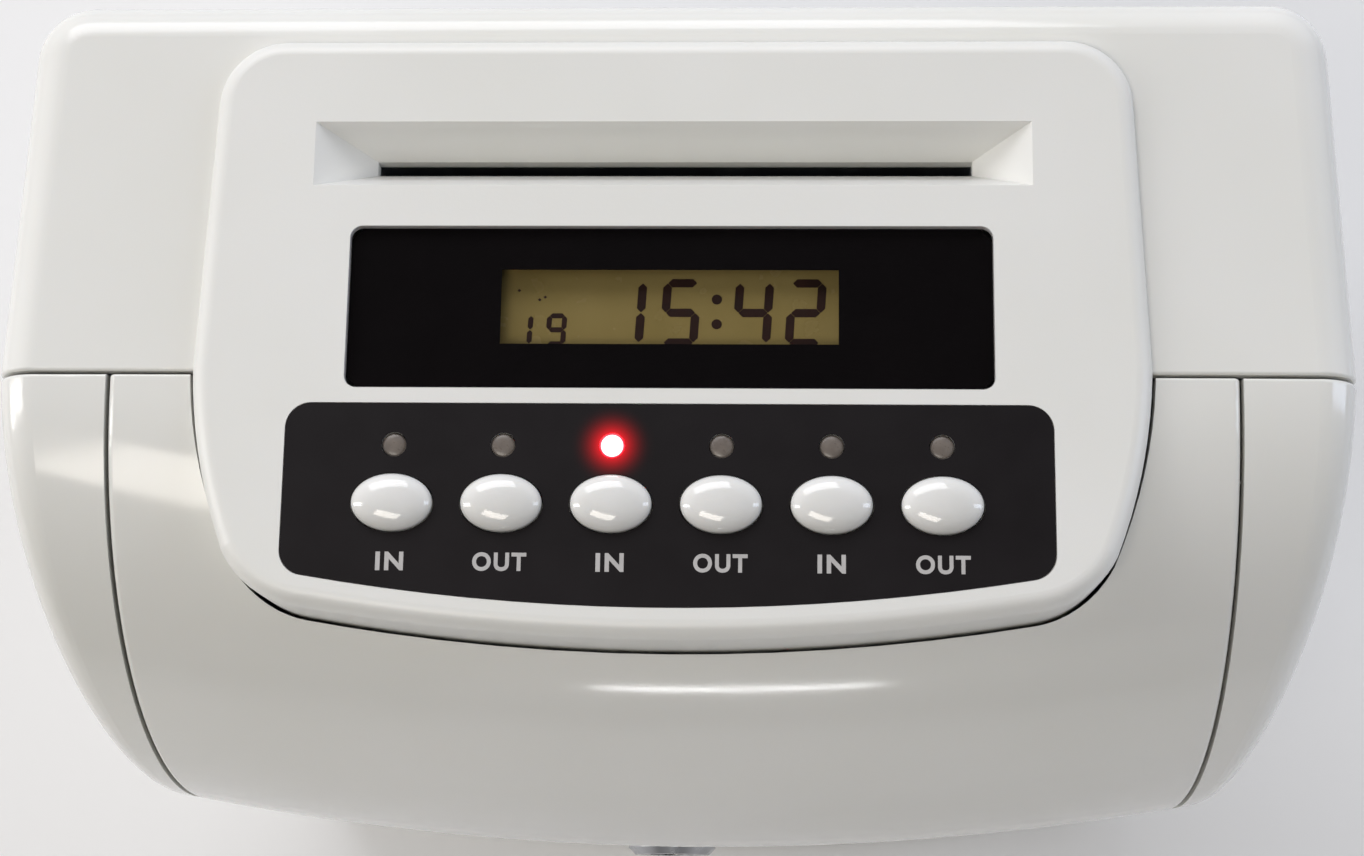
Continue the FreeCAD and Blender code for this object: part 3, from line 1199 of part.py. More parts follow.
def print_head():
    """The dot-matrix head: a finned block with a narrow nose to the ribbon."""
    start = CARRIAGE_Y + CARRIAGE_DEPTH / 2
    nose_start = RIBBON_Y - NOSE_LENGTH
    low, high = PRINT_Z - HEAD_HEIGHT / 2, PRINT_Z + HEAD_HEIGHT / 2
    block = box(-HEAD_HALF_WIDTH, HEAD_HALF_WIDTH, start, nose_start, low, high)
    fins = []
    y = start + FIN_START
    while y + FIN_PITCH < nose_start:
        fins.append(box(-FAR, FAR, y, y + FIN_GAP, high - FIN_DEPTH, high + 1))
        y += FIN_PITCH
    nose = box(-NOSE_HALF_WIDTH, NOSE_HALF_WIDTH, nose_start - JOIN, RIBBON_Y - RIBBON_GAP,
               PRINT_Z - NOSE_HALF_HEIGHT, PRINT_Z + NOSE_HALF_HEIGHT)
    return fuse(cut(block, *fins), nose)


def cassette():
    """The ribbon cassette with its two arms down to the print line."""
    top = CASSETTE_Z + CASSETTE_HEIGHT
    body = plate_z(-CASSETTE_HALF_WIDTH, CASSETTE_HALF_WIDTH, CASSETTE_FRONT, CASSETTE_BACK,
                   CASSETTE_Z, top, CASSETTE_CORNER)
    x0 = CASSETTE_HALF_WIDTH - ARM_WIDTH
    reach = box(x0, CASSETTE_HALF_WIDTH, CASSETTE_BACK - CASSETTE_CORNER, RIBBON_Y, CASSETTE_Z,
                top - ARM_DROP)
    arm = box(x0, CASSETTE_HALF_WIDTH, RIBBON_Y - ARM_DEPTH, RIBBON_Y,
              PRINT_Z - RIBBON_HEIGHT / 2, CASSETTE_Z + JOIN)
    solid = fuse(body, *both_sides(reach), *both_sides(arm))
    knob_bore = rod("z", top - KNOB_STEM - 1, top + 1, knob_x(), knob_y(), KNOB_STEM_RADIUS + RUNNING)
    return solid.cut(knob_bore)


def knob_x():
    """Centre of the ribbon knob across the clock."""
    return -CASSETTE_HALF_WIDTH / 2


def knob_y():
    """Centre of the ribbon knob along the clock."""
    return (CASSETTE_FRONT + CASSETTE_BACK) / 2


def ribbon_knob():
    """The knurled knob that tightens the ribbon."""
    top = CASSETTE_Z + CASSETTE_HEIGHT
    knob = rod("z", top + KNOB_LIFT, top + KNOB_HEIGHT, knob_x(), knob_y(), KNOB_RADIUS)
    grooves = []
    for step in range(KNOB_GROOVES):
        angle = 2 * math.pi * step / KNOB_GROOVES
        grooves.append(rod("z", top, top + KNOB_HEIGHT + 1, knob_x() + KNOB_RADIUS * math.cos(angle),
                           knob_y() + KNOB_RADIUS * math.sin(angle), KNOB_GROOVE_RADIUS))
    stem = rod("z", top - KNOB_STEM, top + JOIN, knob_x(), knob_y(), KNOB_STEM_RADIUS)
    return fuse(cut(knob, *grooves), stem)


def ribbon():
    """The inked ribbon stretched between the cassette's arms."""
    half = CASSETTE_HALF_WIDTH - 1
    return box(-half, half, RIBBON_Y, RIBBON_Y + RIBBON_THICK,
               PRINT_Z - RIBBON_HEIGHT / 2, PRINT_Z + RIBBON_HEIGHT / 2)


def shelf():
    """The sheet across the chassis that carries the cassette."""
    return box(-PLATE_X, PLATE_X, CASSETTE_FRONT, CASSETTE_BACK - SHELF_SHORT,
               SHELF_Z, CASSETTE_Z)


# ---------------------------------------------------------------- electronics
def standoff_places():
    """Where the main board is held off the chassis flanges, as X and Z."""
    x = PLATE_X - FLANGE_SCREW_IN
    return [(side * x, z) for side in (-1, 1)
            for z in (BOARD_LOW + STANDOFF_LOW, BOARD_HIGH - STANDOFF_HIGH)]


def main_board():
    """The main board, upright at the back."""
    half = PLATE_X - BOARD_SHORT
    board = box(-half, half, BOARD_Y, BOARD_Y + BOARD_THICK,
                BOARD_LOW, BOARD_HIGH)
    holes = [rod("y", BOARD_Y - 1, BOARD_Y + 3, x, z, SCREW_RADIUS) for x, z in standoff_places()]
    notches = [rod("y", BOARD_Y - 1, BOARD_Y + 3, x, z, SCREW_HEAD_RADIUS)
               for x, z in rear_screw_places() if z < BOARD_HIGH + SCREW_HEAD_RADIUS]
    return cut(board, *holes, *notches)


def chips():
    """Chips, capacitors, the buzzer and the cable's socket on the front of the main board."""
    y = BOARD_Y
    half = PROCESSOR_SIDE / 2
    processor = box(-half, half, y - PROCESSOR_THICK, y, PROCESSOR_Z - half, PROCESSOR_Z + half)
    narrow = [box(x, x + CHIP_WIDTH, y - CHIP_THICK, y, CHIP_LOW, CHIP_LOW + CHIP_LENGTH)
              for x in CHIP_LEFTS]
    cans = [rod("y", y - CAN_HEIGHT, y, x, CAN_Z, CAN_RADIUS) for x in CAN_PLACES]
    socket = box(cable_x() - SOCKET_RIM, cable_x() + CABLE_WIDTH + SOCKET_RIM, y - SOCKET_DEPTH, y,
                 BOARD_HIGH - SOCKET_DROP, BOARD_HIGH - 1)
    room = box(cable_x() - SEAT, cable_x() + CABLE_WIDTH + SEAT, cable_back() - SEAT,
               cable_back() + CABLE_THICK + SEAT, BOARD_HIGH - SOCKET_HOLD, BOARD_HIGH)
    buzzer = rod("y", y - BUZZER_HEIGHT, y, BUZZER_X, BUZZER_Z, BUZZER_RADIUS)
    return [processor, *narrow, *cans, buzzer, socket.cut(room)]


def board_fastener(x, z):
    """A screw that holds the main board to a stud on the chassis flange."""
    head = rod("y", BOARD_Y - SCREW_HEAD, BOARD_Y, x, z, SCREW_HEAD_RADIUS - 0.4)
    return fuse(head, rod("y", BOARD_Y - 1, CHASSIS_BACK, x, z, SCREW_RADIUS - SEAT))


def dc_jack():
    """The power inlet, with its centre pin."""
    back = REAR_DEPTH - JACK_SINK
    block = box(JACK_X - JACK_WIDTH / 2, JACK_X + JACK_WIDTH / 2, BOARD_Y + BOARD_THICK, back,
                JACK_Z - JACK_HEIGHT / 2, JACK_Z + JACK_HEIGHT / 2)
    bore = rod("y", back - JACK_DEPTH, back + 1, JACK_X, JACK_Z, JACK_BORE)
    pin = rod("y", back - JACK_DEPTH - JOIN / 2, back - JACK_PIN_SINK, JACK_X, JACK_Z, JACK_PIN)
    return fuse(block.cut(bore), pin)


def cable_x():
    """Left edge of the flat cable."""
    return GUIDE_HALF_WIDTH + CABLE_SIDE


def cable_back():
    """Front face of the cable's upright run, behind the card guides."""
    return BOARD_Y - CABLE_AHEAD


def display_cable():
    """The flat cable from the keypad board down to the main board."""
    high = BOARD_TOP - BOARD_THICK
    x0, x1 = cable_x(), cable_x() + CABLE_WIDTH
    bend_y = cable_back() + CABLE_THICK - CABLE_BEND
    bend_z = high - CABLE_BEND
    level = box(x0, x1, CABLE_START, bend_y, high - CABLE_THICK, high)
    fall = box(x0, x1, cable_back(), cable_back() + CABLE_THICK, BOARD_HIGH - SOCKET_HOLD,
               bend_z)
    ring = rod("x", x0, x1, bend_y, bend_z, CABLE_BEND)
    ring = ring.cut(rod("x", x0, x1, bend_y, bend_z, CABLE_BEND - CABLE_THICK))
    quarter = box(x0, x1, bend_y, bend_y + CABLE_BEND, bend_z, high)
    return fuse(level, fall, ring.common(quarter))


def battery_cell(number):
    """One cell of the backup battery, lying along X."""
    y = CELL_FRONT + number * (2 * CELL_RADIUS + CELL_GAP)
    return rod("x", -CELL_LENGTH / 2, CELL_LENGTH / 2, y, CHASSIS_DECK + CELL_RADIUS, CELL_RADIUS)


# ---------------------------------------------------------------- the whole clock
def assemble():
    """Makes every piece of the clock."""
    add("base_tray", base_tray())
    add("rubber_feet", *rubber_feet())
    add("hinge_pins", *hinge_pins())
    add("rear_cover", rear_cover())
    side = side_cover()
    add("right_side_cover", side)
    add("left_side_cover", mirror(side))
    add("front_cover", front_cover())
    add("top_panel", top_panel())
    add("display_window", window_sheet(window_floor() + MASK_THICK, PANEL_TOP - WINDOW_SINK))
    add("window_mask", window_mask())
    add("keypad_overlay", keypad_overlay())
    for number, x in enumerate(button_places()):
        word = "in" if number % 2 == 0 else "out"
        add(f"{word}_button_{number // 2 + 1}", button(x))
    lights = [indicator(x) for x in button_places()]
    add("lit_indicator", lights.pop(LED_LIT))
    add("dark_indicators", *lights)
    add("tact_switches", *[tact_switch(x) for x in button_places()])
    add("keypad_board", keypad_board())
    add("lcd_glass", lcd_block(LCD_TOP - LCD_THICK, LCD_TOP, 0))
    add("lcd_frame", lcd_frame())
    add("lock_body", lock_body())
    add("lock_nut", lock_nut())
    add("lock_plug", lock_plug())
    add("lock_cam", lock_cam())
    add("chassis_deck", chassis_deck())
    feed_motor_y = FEED_Y - FEED_CENTRES
    screw_motor_y = CARRIAGE_Y - SCREW_CENTRES
    add("right_chassis_plate", plate_with_motor(1, feed_motor_y, FEED_Z))
    add("left_chassis_plate", plate_with_motor(-1, screw_motor_y, SCREW_Z))
    add("chassis_cross_members", tie_bar(), shelf())
    side_screws = [side_screw(y, z) for y, z in side_boss_places()]
    add("casing_screws", *[deck_screw(x, y) for x, y in deck_places()],
        *[rear_screw(x, z) for x, z in rear_screw_places()],
        *side_screws, *[mirror(screw) for screw in side_screws])
    add("card_guide_front", card_guide_front())
    add("card_guide_rear", card_guide_rear())
    add("platen", platen())
    add("shaft_bushes", *bushes())
    reach = GEAR_X + GEAR_WIDTH
    add("feed_shaft", shaft_with_journals(-PLATE_OUT - SHAFT_END, reach, FEED_Y, FEED_Z, SHAFT_RADIUS))
    add("feed_rollers", *[roller(x, FEED_Y, FEED_ROLLER_RADIUS) for x in (-ROLLER_X, ROLLER_X)])
    add("feed_gear", bored_gear(1, FEED_TEETH, FEED_Y, FEED_Z, 0.0))
    add("feed_motor", motor(1, feed_motor_y, FEED_Z))
    add("feed_pinion", pinion(1, feed_motor_y, FEED_Z, 180.0 / PINION_TEETH))
    add("pinch_shaft", shaft_with_journals(-PLATE_OUT, PLATE_OUT, PINCH_Y, FEED_Z, SHAFT_RADIUS))
    add("pinch_rollers", *[roller(x, PINCH_Y, PINCH_ROLLER_RADIUS) for x in (-ROLLER_X, ROLLER_X)])
    add("guide_rod", rod("x", -PLATE_OUT, PLATE_OUT, CARRIAGE_Y, ROD_Z, ROD_RADIUS))
    add("lead_screw", shaft_with_journals(-reach, PLATE_OUT, CARRIAGE_Y, SCREW_Z, LEAD_SCREW_RADIUS))
    add("screw_gear", bored_gear(-1, SCREW_TEETH, CARRIAGE_Y, SCREW_Z, 0.0))
    add("carriage_motor", motor(-1, screw_motor_y, SCREW_Z))
    add("carriage_pinion", pinion(-1, screw_motor_y, SCREW_Z, 180.0 / PINION_TEETH))
    add("print_carriage", carriage())
    add("carriage_nut", carriage_nut())
    add("print_head", print_head())
    add("ribbon_cassette", cassette())
    add("ribbon_knob", ribbon_knob())
    add("ink_ribbon", ribbon())
    add("main_board", main_board())
    add("board_components", *chips())
    add("board_screws", *[board_fastener(x, z) for x, z in standoff_places()],
        *[board_screw(x, y) for x, y in board_screw_places()])
    add("dc_jack", dc_jack())
    add("display_cable", display_cable())
    add("backup_battery", *[battery_cell(number) for number in range(CELL_COUNT)])


def write_parts():
    """Moves every piece to the clock's own origin and writes one file for each."""
    os.makedirs("parts", exist_ok=True)
    for name, shape in PARTS.items():
        shape.translate(Vector(0, PARTING_Y, 0))
        shape.exportStep(f"parts/{name}.step")
        print(f"{name:24s} solids {len(shape.Solids)} volume {shape.Volume:10.1f} "
              f"valid {shape.isValid()}")


assemble()
write_parts()
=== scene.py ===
import logging
import math
from dataclasses import dataclass, field
from enum import Enum

import bmesh
import bpy
from mathutils import Matrix, Vector


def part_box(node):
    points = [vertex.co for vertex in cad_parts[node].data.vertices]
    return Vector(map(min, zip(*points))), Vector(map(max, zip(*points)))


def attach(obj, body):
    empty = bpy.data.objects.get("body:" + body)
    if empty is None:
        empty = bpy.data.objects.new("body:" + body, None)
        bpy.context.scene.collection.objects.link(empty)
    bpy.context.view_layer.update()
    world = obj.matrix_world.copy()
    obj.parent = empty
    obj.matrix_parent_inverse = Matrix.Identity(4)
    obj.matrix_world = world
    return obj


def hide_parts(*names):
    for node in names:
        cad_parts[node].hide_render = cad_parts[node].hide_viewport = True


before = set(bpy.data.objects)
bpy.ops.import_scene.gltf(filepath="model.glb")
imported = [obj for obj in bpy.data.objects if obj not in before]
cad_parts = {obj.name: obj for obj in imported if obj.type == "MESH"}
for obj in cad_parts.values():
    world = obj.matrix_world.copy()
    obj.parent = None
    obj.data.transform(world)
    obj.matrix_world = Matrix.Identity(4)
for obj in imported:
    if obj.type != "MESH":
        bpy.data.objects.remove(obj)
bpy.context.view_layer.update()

log = logging.getLogger("time_clock")
MM = 0.001
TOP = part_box("rear_cover")[1].z            # flat rear top of the casing
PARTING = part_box("rear_cover")[0].y        # line between the rear and the front covers


# ------------------------------------------------------------------ small helpers
def linear(code: str) -> tuple[float, float, float, float]:
    """Turns an sRGB hex colour into linear RGBA.

    Args:
        code: Six hex digits, with or without a leading #.

    Returns:
        The colour as linear red, green, blue and an alpha of 1.
    """
    code = code.lstrip("#")
    parts = [int(code[i:i + 2], 16) / 255 for i in (0, 2, 4)]
    lin = [p / 12.92 if p <= 0.04045 else ((p + 0.055) / 1.055) ** 2.4 for p in parts]
    return (*lin, 1.0)


def add_node(tree: bpy.types.NodeTree, kind: str, settings: dict | None = None,
             values: dict | None = None, links: dict | None = None) -> bpy.types.Node:
    """Adds one shader node.

    Args:
        tree: The material's node tree.
        kind: Node type, such as ShaderNodeTexNoise.
        settings: Attributes of the node.
        values: Input values, by socket name or number.
        links: Output sockets to link from, by input name or number.

    Returns:
        The new node.
    """
    made = tree.nodes.new(kind)
    for key, value in (settings or {}).items():
        setattr(made, key, value)
    for key, value in (values or {}).items():
        made.inputs[key].default_value = value
    for key, socket in (links or {}).items():
        tree.links.new(socket, made.inputs[key])
    return made


def per_mm(size: float) -> float:
    """Gives the texture scale whose features are about size millimetres across."""
    return 1.0 / (size * MM)


def finished(bm: bmesh.types.BMesh, name: str, smooth_angle: float = 35.0) -> bpy.types.Object:
    """Turns a bmesh into a linked object at the origin, with smooth shading by angle.

    Args:
        bm: The mesh, already in place in metres. It is freed.
        name: Name of the piece.
        smooth_angle: Edges sharper than this many degrees stay sharp.

    Returns:
        The new object.
    """
    bmesh.ops.remove_doubles(bm, verts=bm.verts, dist=1e-7)
    bmesh.ops.recalc_face_normals(bm, faces=bm.faces)
    mesh = bpy.data.meshes.new(name)
    bm.to_mesh(mesh)
    bm.free()
    mesh.polygons.foreach_set("use_smooth", [True] * len(mesh.polygons))
    mesh.set_sharp_from_angle(angle=math.radians(smooth_angle))
    piece = bpy.data.objects.new(name, mesh)
    bpy.context.scene.collection.objects.link(piece)
    return piece


def settle(piece: bpy.types.Object, body: str, material: bpy.types.Material) -> None:
    """Gives a piece its body and its material, and reports it.

    Args:
        piece: The piece, in place.
        body: CAD body that it moves with.
        material: Its finish.
    """
    piece.data.materials.clear()
    piece.data.materials.append(material)
    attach(piece, body)
    log.info("piece %s rides %s", piece.name, body)


def dress(nodes: tuple[str, ...], material: bpy.types.Material) -> None:
    """Gives carried-over CAD nodes a finish.

    Args:
        nodes: Names of CAD nodes.
        material: Their finish.
    """
    for name in nodes:
        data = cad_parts[name].data
        data.materials.clear()
        data.materials.append(material)
        log.info("node %s gets %s", name, material.name)


# ------------------------------------------------------------------ finishes
class Axis(Enum):
    """Direction that a surface was brushed, drawn or turned in."""

    X = (0.04, 1.0, 1.0)
    Y = (1.0, 0.04, 1.0)
    Z = (1.0, 1.0, 0.04)
    NONE = (1.0, 1.0, 1.0)


@dataclass(frozen=True)
class Finish:
    """A solid surface whose colour drifts a little and whose skin has a fine grain."""

    name: str
    colour: str
    drift_to: str
    drift_mm: float
    roughness: float
    rough_span: float
    grain_mm: float
    grain_depth_mm: float
    ior: float = 1.5
    metallic: float = 0.0
    coat: float = 0.0
    subsurface: float = 0.0
    lie: Axis = Axis.NONE

    def build(self) -> bpy.types.Material:
        """Makes the material.

        Returns:
            The finished material.
        """
        material = bpy.data.materials.new(self.name)
        material.use_nodes = True
        tree = material.node_tree
        tree.nodes.clear()
        shader = add_node(tree, "ShaderNodeBsdfPrincipled",
                          values={"Metallic": self.metallic, "Coat Weight": self.coat,
                                  "Coat Roughness": 0.05, "Subsurface Weight": self.subsurface,
                                  "Subsurface Radius": (0.002, 0.0016, 0.0012),
                                  "Subsurface Scale": 0.5})
        if self.metallic < 0.5:
            shader.inputs["IOR"].default_value = self.ior
        add_node(tree, "ShaderNodeOutputMaterial", links={"Surface": shader.outputs["BSDF"]})
        where = add_node(tree, "ShaderNodeTexCoord").outputs["Object"]
        place = add_node(tree, "ShaderNodeMapping", values={"Scale": self.lie.value},
                         links={"Vector": where}).outputs["Vector"]
        self.paint(tree, shader, where)
        self.texture(tree, shader, place)
        return material

    def paint(self, tree: bpy.types.NodeTree, shader: bpy.types.Node,
              where: bpy.types.NodeSocket) -> None:
        """Links the colour: two tones that drift into each other.

        Args:
            tree: The node tree.
            shader: The surface shader.
            where: Object coordinates.
        """
        cloud = add_node(tree, "ShaderNodeTexNoise",
                         values={"Scale": per_mm(self.drift_mm), "Detail": 3.0, "Roughness": 0.55},
                         links={"Vector": where})
        share = add_node(tree, "ShaderNodeMapRange", values={"From Min": 0.35, "From Max": 0.7},
                         links={"Value": cloud.outputs["Fac"]})
        tone = add_node(tree, "ShaderNodeMix", {"data_type": "RGBA"},
                        {6: linear(self.colour), 7: linear(self.drift_to)},
                        {0: share.outputs["Result"]})
        tree.links.new(tone.outputs[2], shader.inputs["Base Color"])

    def texture(self, tree: bpy.types.NodeTree, shader: bpy.types.Node,
                place: bpy.types.NodeSocket) -> None:
        """Links the gloss variation and the fine relief.

        Args:
            tree: The node tree.
            shader: The surface shader.
            place: Mapped object coordinates.
        """
        grain = add_node(tree, "ShaderNodeTexNoise",
                         values={"Scale": per_mm(self.grain_mm), "Detail": 2.0}, links={"Vector": place})
        wipe = add_node(tree, "ShaderNodeTexNoise",
                        values={"Scale": per_mm(self.drift_mm * 0.3), "Detail": 4.0},
                        links={"Vector": place})
        rough = add_node(tree, "ShaderNodeMapRange",
                         values={"From Min": 0.3, "From Max": 0.7,
                                 "To Min": self.roughness - self.rough_span / 2,
                                 "To Max": self.roughness + self.rough_span / 2},
                         links={"Value": wipe.outputs["Fac"]})
        tree.links.new(rough.outputs["Result"], shader.inputs["Roughness"])
        relief = add_node(tree, "ShaderNodeBump",
                          values={"Strength": 1.0, "Distance": self.grain_depth_mm * MM},
                          links={"Height": grain.outputs["Fac"]})
        tree.links.new(relief.outputs["Normal"], shader.inputs["Normal"])


@dataclass(frozen=True)
class LitLens(Finish):
    """A diffused indicator lens with its light on: white in the middle, red at the rim."""

    centre: tuple[float, float, float] = (0.0, 0.0, 0.0)
    core_mm: float = 1.15
    radius_mm: float = 1.62
    glow: float = 9.0

    def paint(self, tree: bpy.types.NodeTree, shader: bpy.types.Node,
              where: bpy.types.NodeSocket) -> None:
        """Links the glow by the distance from the lamp's middle.

        Args:
            tree: The node tree.
            shader: The surface shader.
            where: Object coordinates.
        """
        apart = add_node(tree, "ShaderNodeVectorMath", {"operation": "DISTANCE"},
                         {1: self.centre}, {0: where})
        rim = add_node(tree, "ShaderNodeMapRange",
                       values={"From Min": self.core_mm * MM, "From Max": self.radius_mm * MM},
                       links={"Value": apart.outputs["Value"]})
        tone = add_node(tree, "ShaderNodeMix", {"data_type": "RGBA"},
                        {6: linear("fff4ee"), 7: linear(self.colour)}, {0: rim.outputs["Result"]})
        tree.links.new(tone.outputs[2], shader.inputs["Base Color"])
        tree.links.new(tone.outputs[2], shader.inputs["Emission Color"])
        shader.inputs["Emission Strength"].default_value = self.glow


@dataclass(frozen=True)
class LampFilm(Finish):
    """Dark printed film with a painted red glow close round the lit lamp."""

    lamp: tuple[float, float, float] = (0.0, 0.0, 0.0)
    lamp_mm: float = 1.7
    spread_mm: float = 7.0
    fall_off: float = 4.5
    glow: float = 1.3
    glow_colour: str = "d80c18"

    def paint(self, tree: bpy.types.NodeTree, shader: bpy.types.Node,
              where: bpy.types.NodeSocket) -> None:
        """Links the film's colour and the painted faint red glow round the lamp.

        Args:
            tree: The node tree.
            shader: The surface shader.
            where: Object coordinates.
        """
        super().paint(tree, shader, where)
        # painted glow: the film itself emits red close round the lamp, fading out with distance, in place
        # of the lamp's light through it
        apart = add_node(tree, "ShaderNodeVectorMath", {"operation": "DISTANCE"},
                         {1: self.lamp}, {0: where})
        near = add_node(tree, "ShaderNodeMapRange",
                        values={"From Min": self.lamp_mm * MM, "From Max": self.spread_mm * MM,
                                "To Min": 1.0, "To Max": 0.0},
                        links={"Value": apart.outputs["Value"]})
        near = add_node(tree, "ShaderNodeMath", {"operation": "POWER"}, {1: self.fall_off},
                        {0: near.outputs["Result"]})
        painted_glow = add_node(tree, "ShaderNodeMix", {"data_type": "RGBA"},
                         {6: linear("000000"), 7: linear(self.glow_colour)}, {0: near.outputs["Value"]})
        tree.links.new(painted_glow.outputs[2], shader.inputs["Emission Color"])
        shader.inputs["Emission Strength"].default_value = self.glow


@dataclass(frozen=True)
class ClearSheet(Finish):
    """A polished clear sheet: tinted see-through, with a mirror gloss on its outer faces."""

    def build(self) -> bpy.types.Material:
        """Makes the sheet from a see-through part and a gloss that Fresnel mixes in.

        Returns:
            The finished material.
        """
        material = super().build()
        tree = material.node_tree
        gloss = next(item for item in tree.nodes if item.type == "BSDF_PRINCIPLED")
        output = next(item for item in tree.nodes if item.type == "OUTPUT_MATERIAL")
        clear = add_node(tree, "ShaderNodeBsdfTransparent", values={"Color": linear(self.drift_to)})
        edge = add_node(tree, "ShaderNodeFresnel", values={"IOR": self.ior})
        side = add_node(tree, "ShaderNodeNewGeometry")
        share = add_node(tree, "ShaderNodeMath", {"operation": "MULTIPLY_ADD", "use_clamp": True},
                         {1: -1.0}, {0: side.outputs["Backfacing"], 2: edge.outputs["Fac"]})
        mixed = add_node(tree, "ShaderNodeMixShader",
                         links={0: share.outputs["Value"], 1: clear.outputs["BSDF"],
                                2: gloss.outputs["BSDF"]})
        tree.links.new(mixed.outputs["Shader"], output.inputs["Surface"])
        return material

    def paint(self, tree: bpy.types.NodeTree, shader: bpy.types.Node,
              where: bpy.types.NodeSocket) -> None:
        """Makes the gloss part a plain mirror, because the colour comes from what is behind."""
        shader.inputs["Base Color"].default_value = linear("ffffff")
        shader.inputs["Metallic"].default_value = 1.0


@dataclass(frozen=True)
class BoardMask(Finish):
    """Solder mask over copper: darker ground, lighter where the tracks run under it."""

    track_mm: float = 2.4
    repeat: float = 2.2
    step: float = 0.09
    track_share: tuple[float, float] = (0.035, 0.05)

    def paint(self, tree: bpy.types.NodeTree, shader: bpy.types.Node,
              where: bpy.types.NodeSocket) -> None:
        """Links the tracks: stepped lines that follow a grid, in the mask's lighter green.

        Args:
            tree: The node tree.
            shader: The surface shader.
            where: Object coordinates.
        """
        grid = add_node(tree, "ShaderNodeTexVoronoi", {"feature": "F1", "distance": "CHEBYCHEV"},
                        {"Scale": per_mm(self.track_mm * self.repeat), "Randomness": 0.85},
                        {"Vector": where})
        lines = add_node(tree, "ShaderNodeMath", {"operation": "PINGPONG"}, {1: self.step},
                         {0: grid.outputs["Distance"]})
        sharp = add_node(tree, "ShaderNodeMapRange",
                         values={"From Min": self.track_share[0], "From Max": self.track_share[1]},
                         links={"Value": lines.outputs["Value"]})
        tone = add_node(tree, "ShaderNodeMix", {"data_type": "RGBA"},
                        {6: linear(self.colour), 7: linear(self.drift_to)},
                        {0: sharp.outputs["Result"]})
        tree.links.new(tone.outputs[2], shader.inputs["Base Color"])


@dataclass(frozen=True)
class Woven(Finish):
    """Plain-woven cloth: two sets of threads at right angles."""

    thread_mm: float = 0.5

    def texture(self, tree: bpy.types.NodeTree, shader: bpy.types.Node,
                place: bpy.types.NodeSocket) -> None:
        """Links the relief of the crossing threads.

        Args:
            tree: The node tree.
            shader: The surface shader.
            place: Mapped object coordinates.
        """
        shader.inputs["Roughness"].default_value = self.roughness
        waves = []
        for direction in ("X", "Z"):
            wave = add_node(tree, "ShaderNodeTexWave", {"bands_direction": direction},
                            {"Scale": per_mm(self.thread_mm) / (2 * math.pi), "Distortion": 0.4},
                            {"Vector": place})
            waves.append(wave.outputs["Fac"])
        both = add_node(tree, "ShaderNodeMath", {"operation": "MAXIMUM"},
                        links={0: waves[0], 1: waves[1]})
        relief = add_node(tree, "ShaderNodeBump",
                          values={"Strength": 0.8, "Distance": self.grain_depth_mm * MM},
                          links={"Height": both.outputs["Value"]})
        tree.links.new(relief.outputs["Normal"], shader.inputs["Normal"])


@dataclass(frozen=True)
class Banded(Finish):
    """A motor can: dark laminations between bright cast ends, told apart along X."""

    ends: tuple[float, float] = (0.0, 0.0)
    end_mm: float = 6.0
    edge_mm: float = 0.2
    end_colour: str = "a6a8aa"

    def paint(self, tree: bpy.types.NodeTree, shader: bpy.types.Node,
              where: bpy.types.NodeSocket) -> None:
        """Links the two tones by the distance from the middle of the can along X.

        Args:
            tree: The node tree.
            shader: The surface shader.
            where: Object coordinates.
        """
        axis = add_node(tree, "ShaderNodeSeparateXYZ", links={"Vector": where})
        apart = add_node(tree, "ShaderNodeMath", {"operation": "ABSOLUTE"},
                         links={0: axis.outputs["X"]})
        low, high = self.ends
        seam = (high - low) / 2 - self.end_mm * MM
        centred = add_node(tree, "ShaderNodeMath", {"operation": "SUBTRACT"}, {1: (low + high) / 2},
                           {0: apart.outputs["Value"]})
        size = add_node(tree, "ShaderNodeMath", {"operation": "ABSOLUTE"},
                        links={0: centred.outputs["Value"]})
        end = add_node(tree, "ShaderNodeMapRange",
                       values={"From Min": seam - self.edge_mm * MM, "From Max": seam},
                       links={"Value": size.outputs["Value"]})
        tone = add_node(tree, "ShaderNodeMix", {"data_type": "RGBA"},
                        {6: linear(self.colour), 7: linear(self.end_colour)},
                        {0: end.outputs["Result"]})
        tree.links.new(tone.outputs[2], shader.inputs["Base Color"])
        tree.links.new(end.outputs["Result"], shader.inputs["Metallic"])


# ABS, injection-moulded in a polished tool: white with a broad soft gloss
COVER_ABS = Finish("moulded_abs_polished", "ebebe8", "e6e6e1", 70.0, 0.12, 0.04, 2.6, 0.003,
                   ior=1.53, subsurface=0.06)
# ABS, moulded in a spark-eroded tool: the same white with a fine satin grain
PANEL_ABS = Finish("moulded_abs_satin", "e9e9e6", "e4e4df", 60.0, 0.36, 0.06, 0.7, 0.012,
                   ior=1.53, subsurface=0.06)
# ABS keys, buffed: the brightest and glossiest pieces
KEY_ABS = Finish("moulded_abs_buffed", "e6e6e4", "e0e0dd", 9.0, 0.09, 0.03, 2.0, 0.002,
                 ior=1.53, coat=0.4, subsurface=0.08)
# acrylic sheet, cast and polished: a mirror-like dark pane over the mask
WINDOW_ACRYLIC = ClearSheet("cast_acrylic_polished", "ffffff", "f4f3f4", 40.0, 0.025, 0.01, 6.0,
                            0.001, ior=1.49)
# screen ink, printed thick: dense black
WINDOW_INK = Finish("screen_ink_black", "060304", "090506", 20.0, 0.7, 0.1, 0.4, 0.004, ior=1.18)
# unlit lens, diffused epoxy: greyish brown
DARK_LENS = Finish("diffused_epoxy_unlit", "7b736c", "6a625c", 2.0, 0.3, 0.08, 0.5, 0.004,
                   ior=1.55, subsurface=0.2)
# liquid crystal, energised: dark brown on olive
SEGMENT_INK = Finish("liquid_crystal_dark", "33190f", "28150a", 3.0, 0.4, 0.05, 0.6, 0.001)
# label ink, printed light grey
LABEL_INK = Finish("label_ink_grey", "bdbbba", "b3b1b0", 3.0, 0.5, 0.08, 0.3, 0.003)
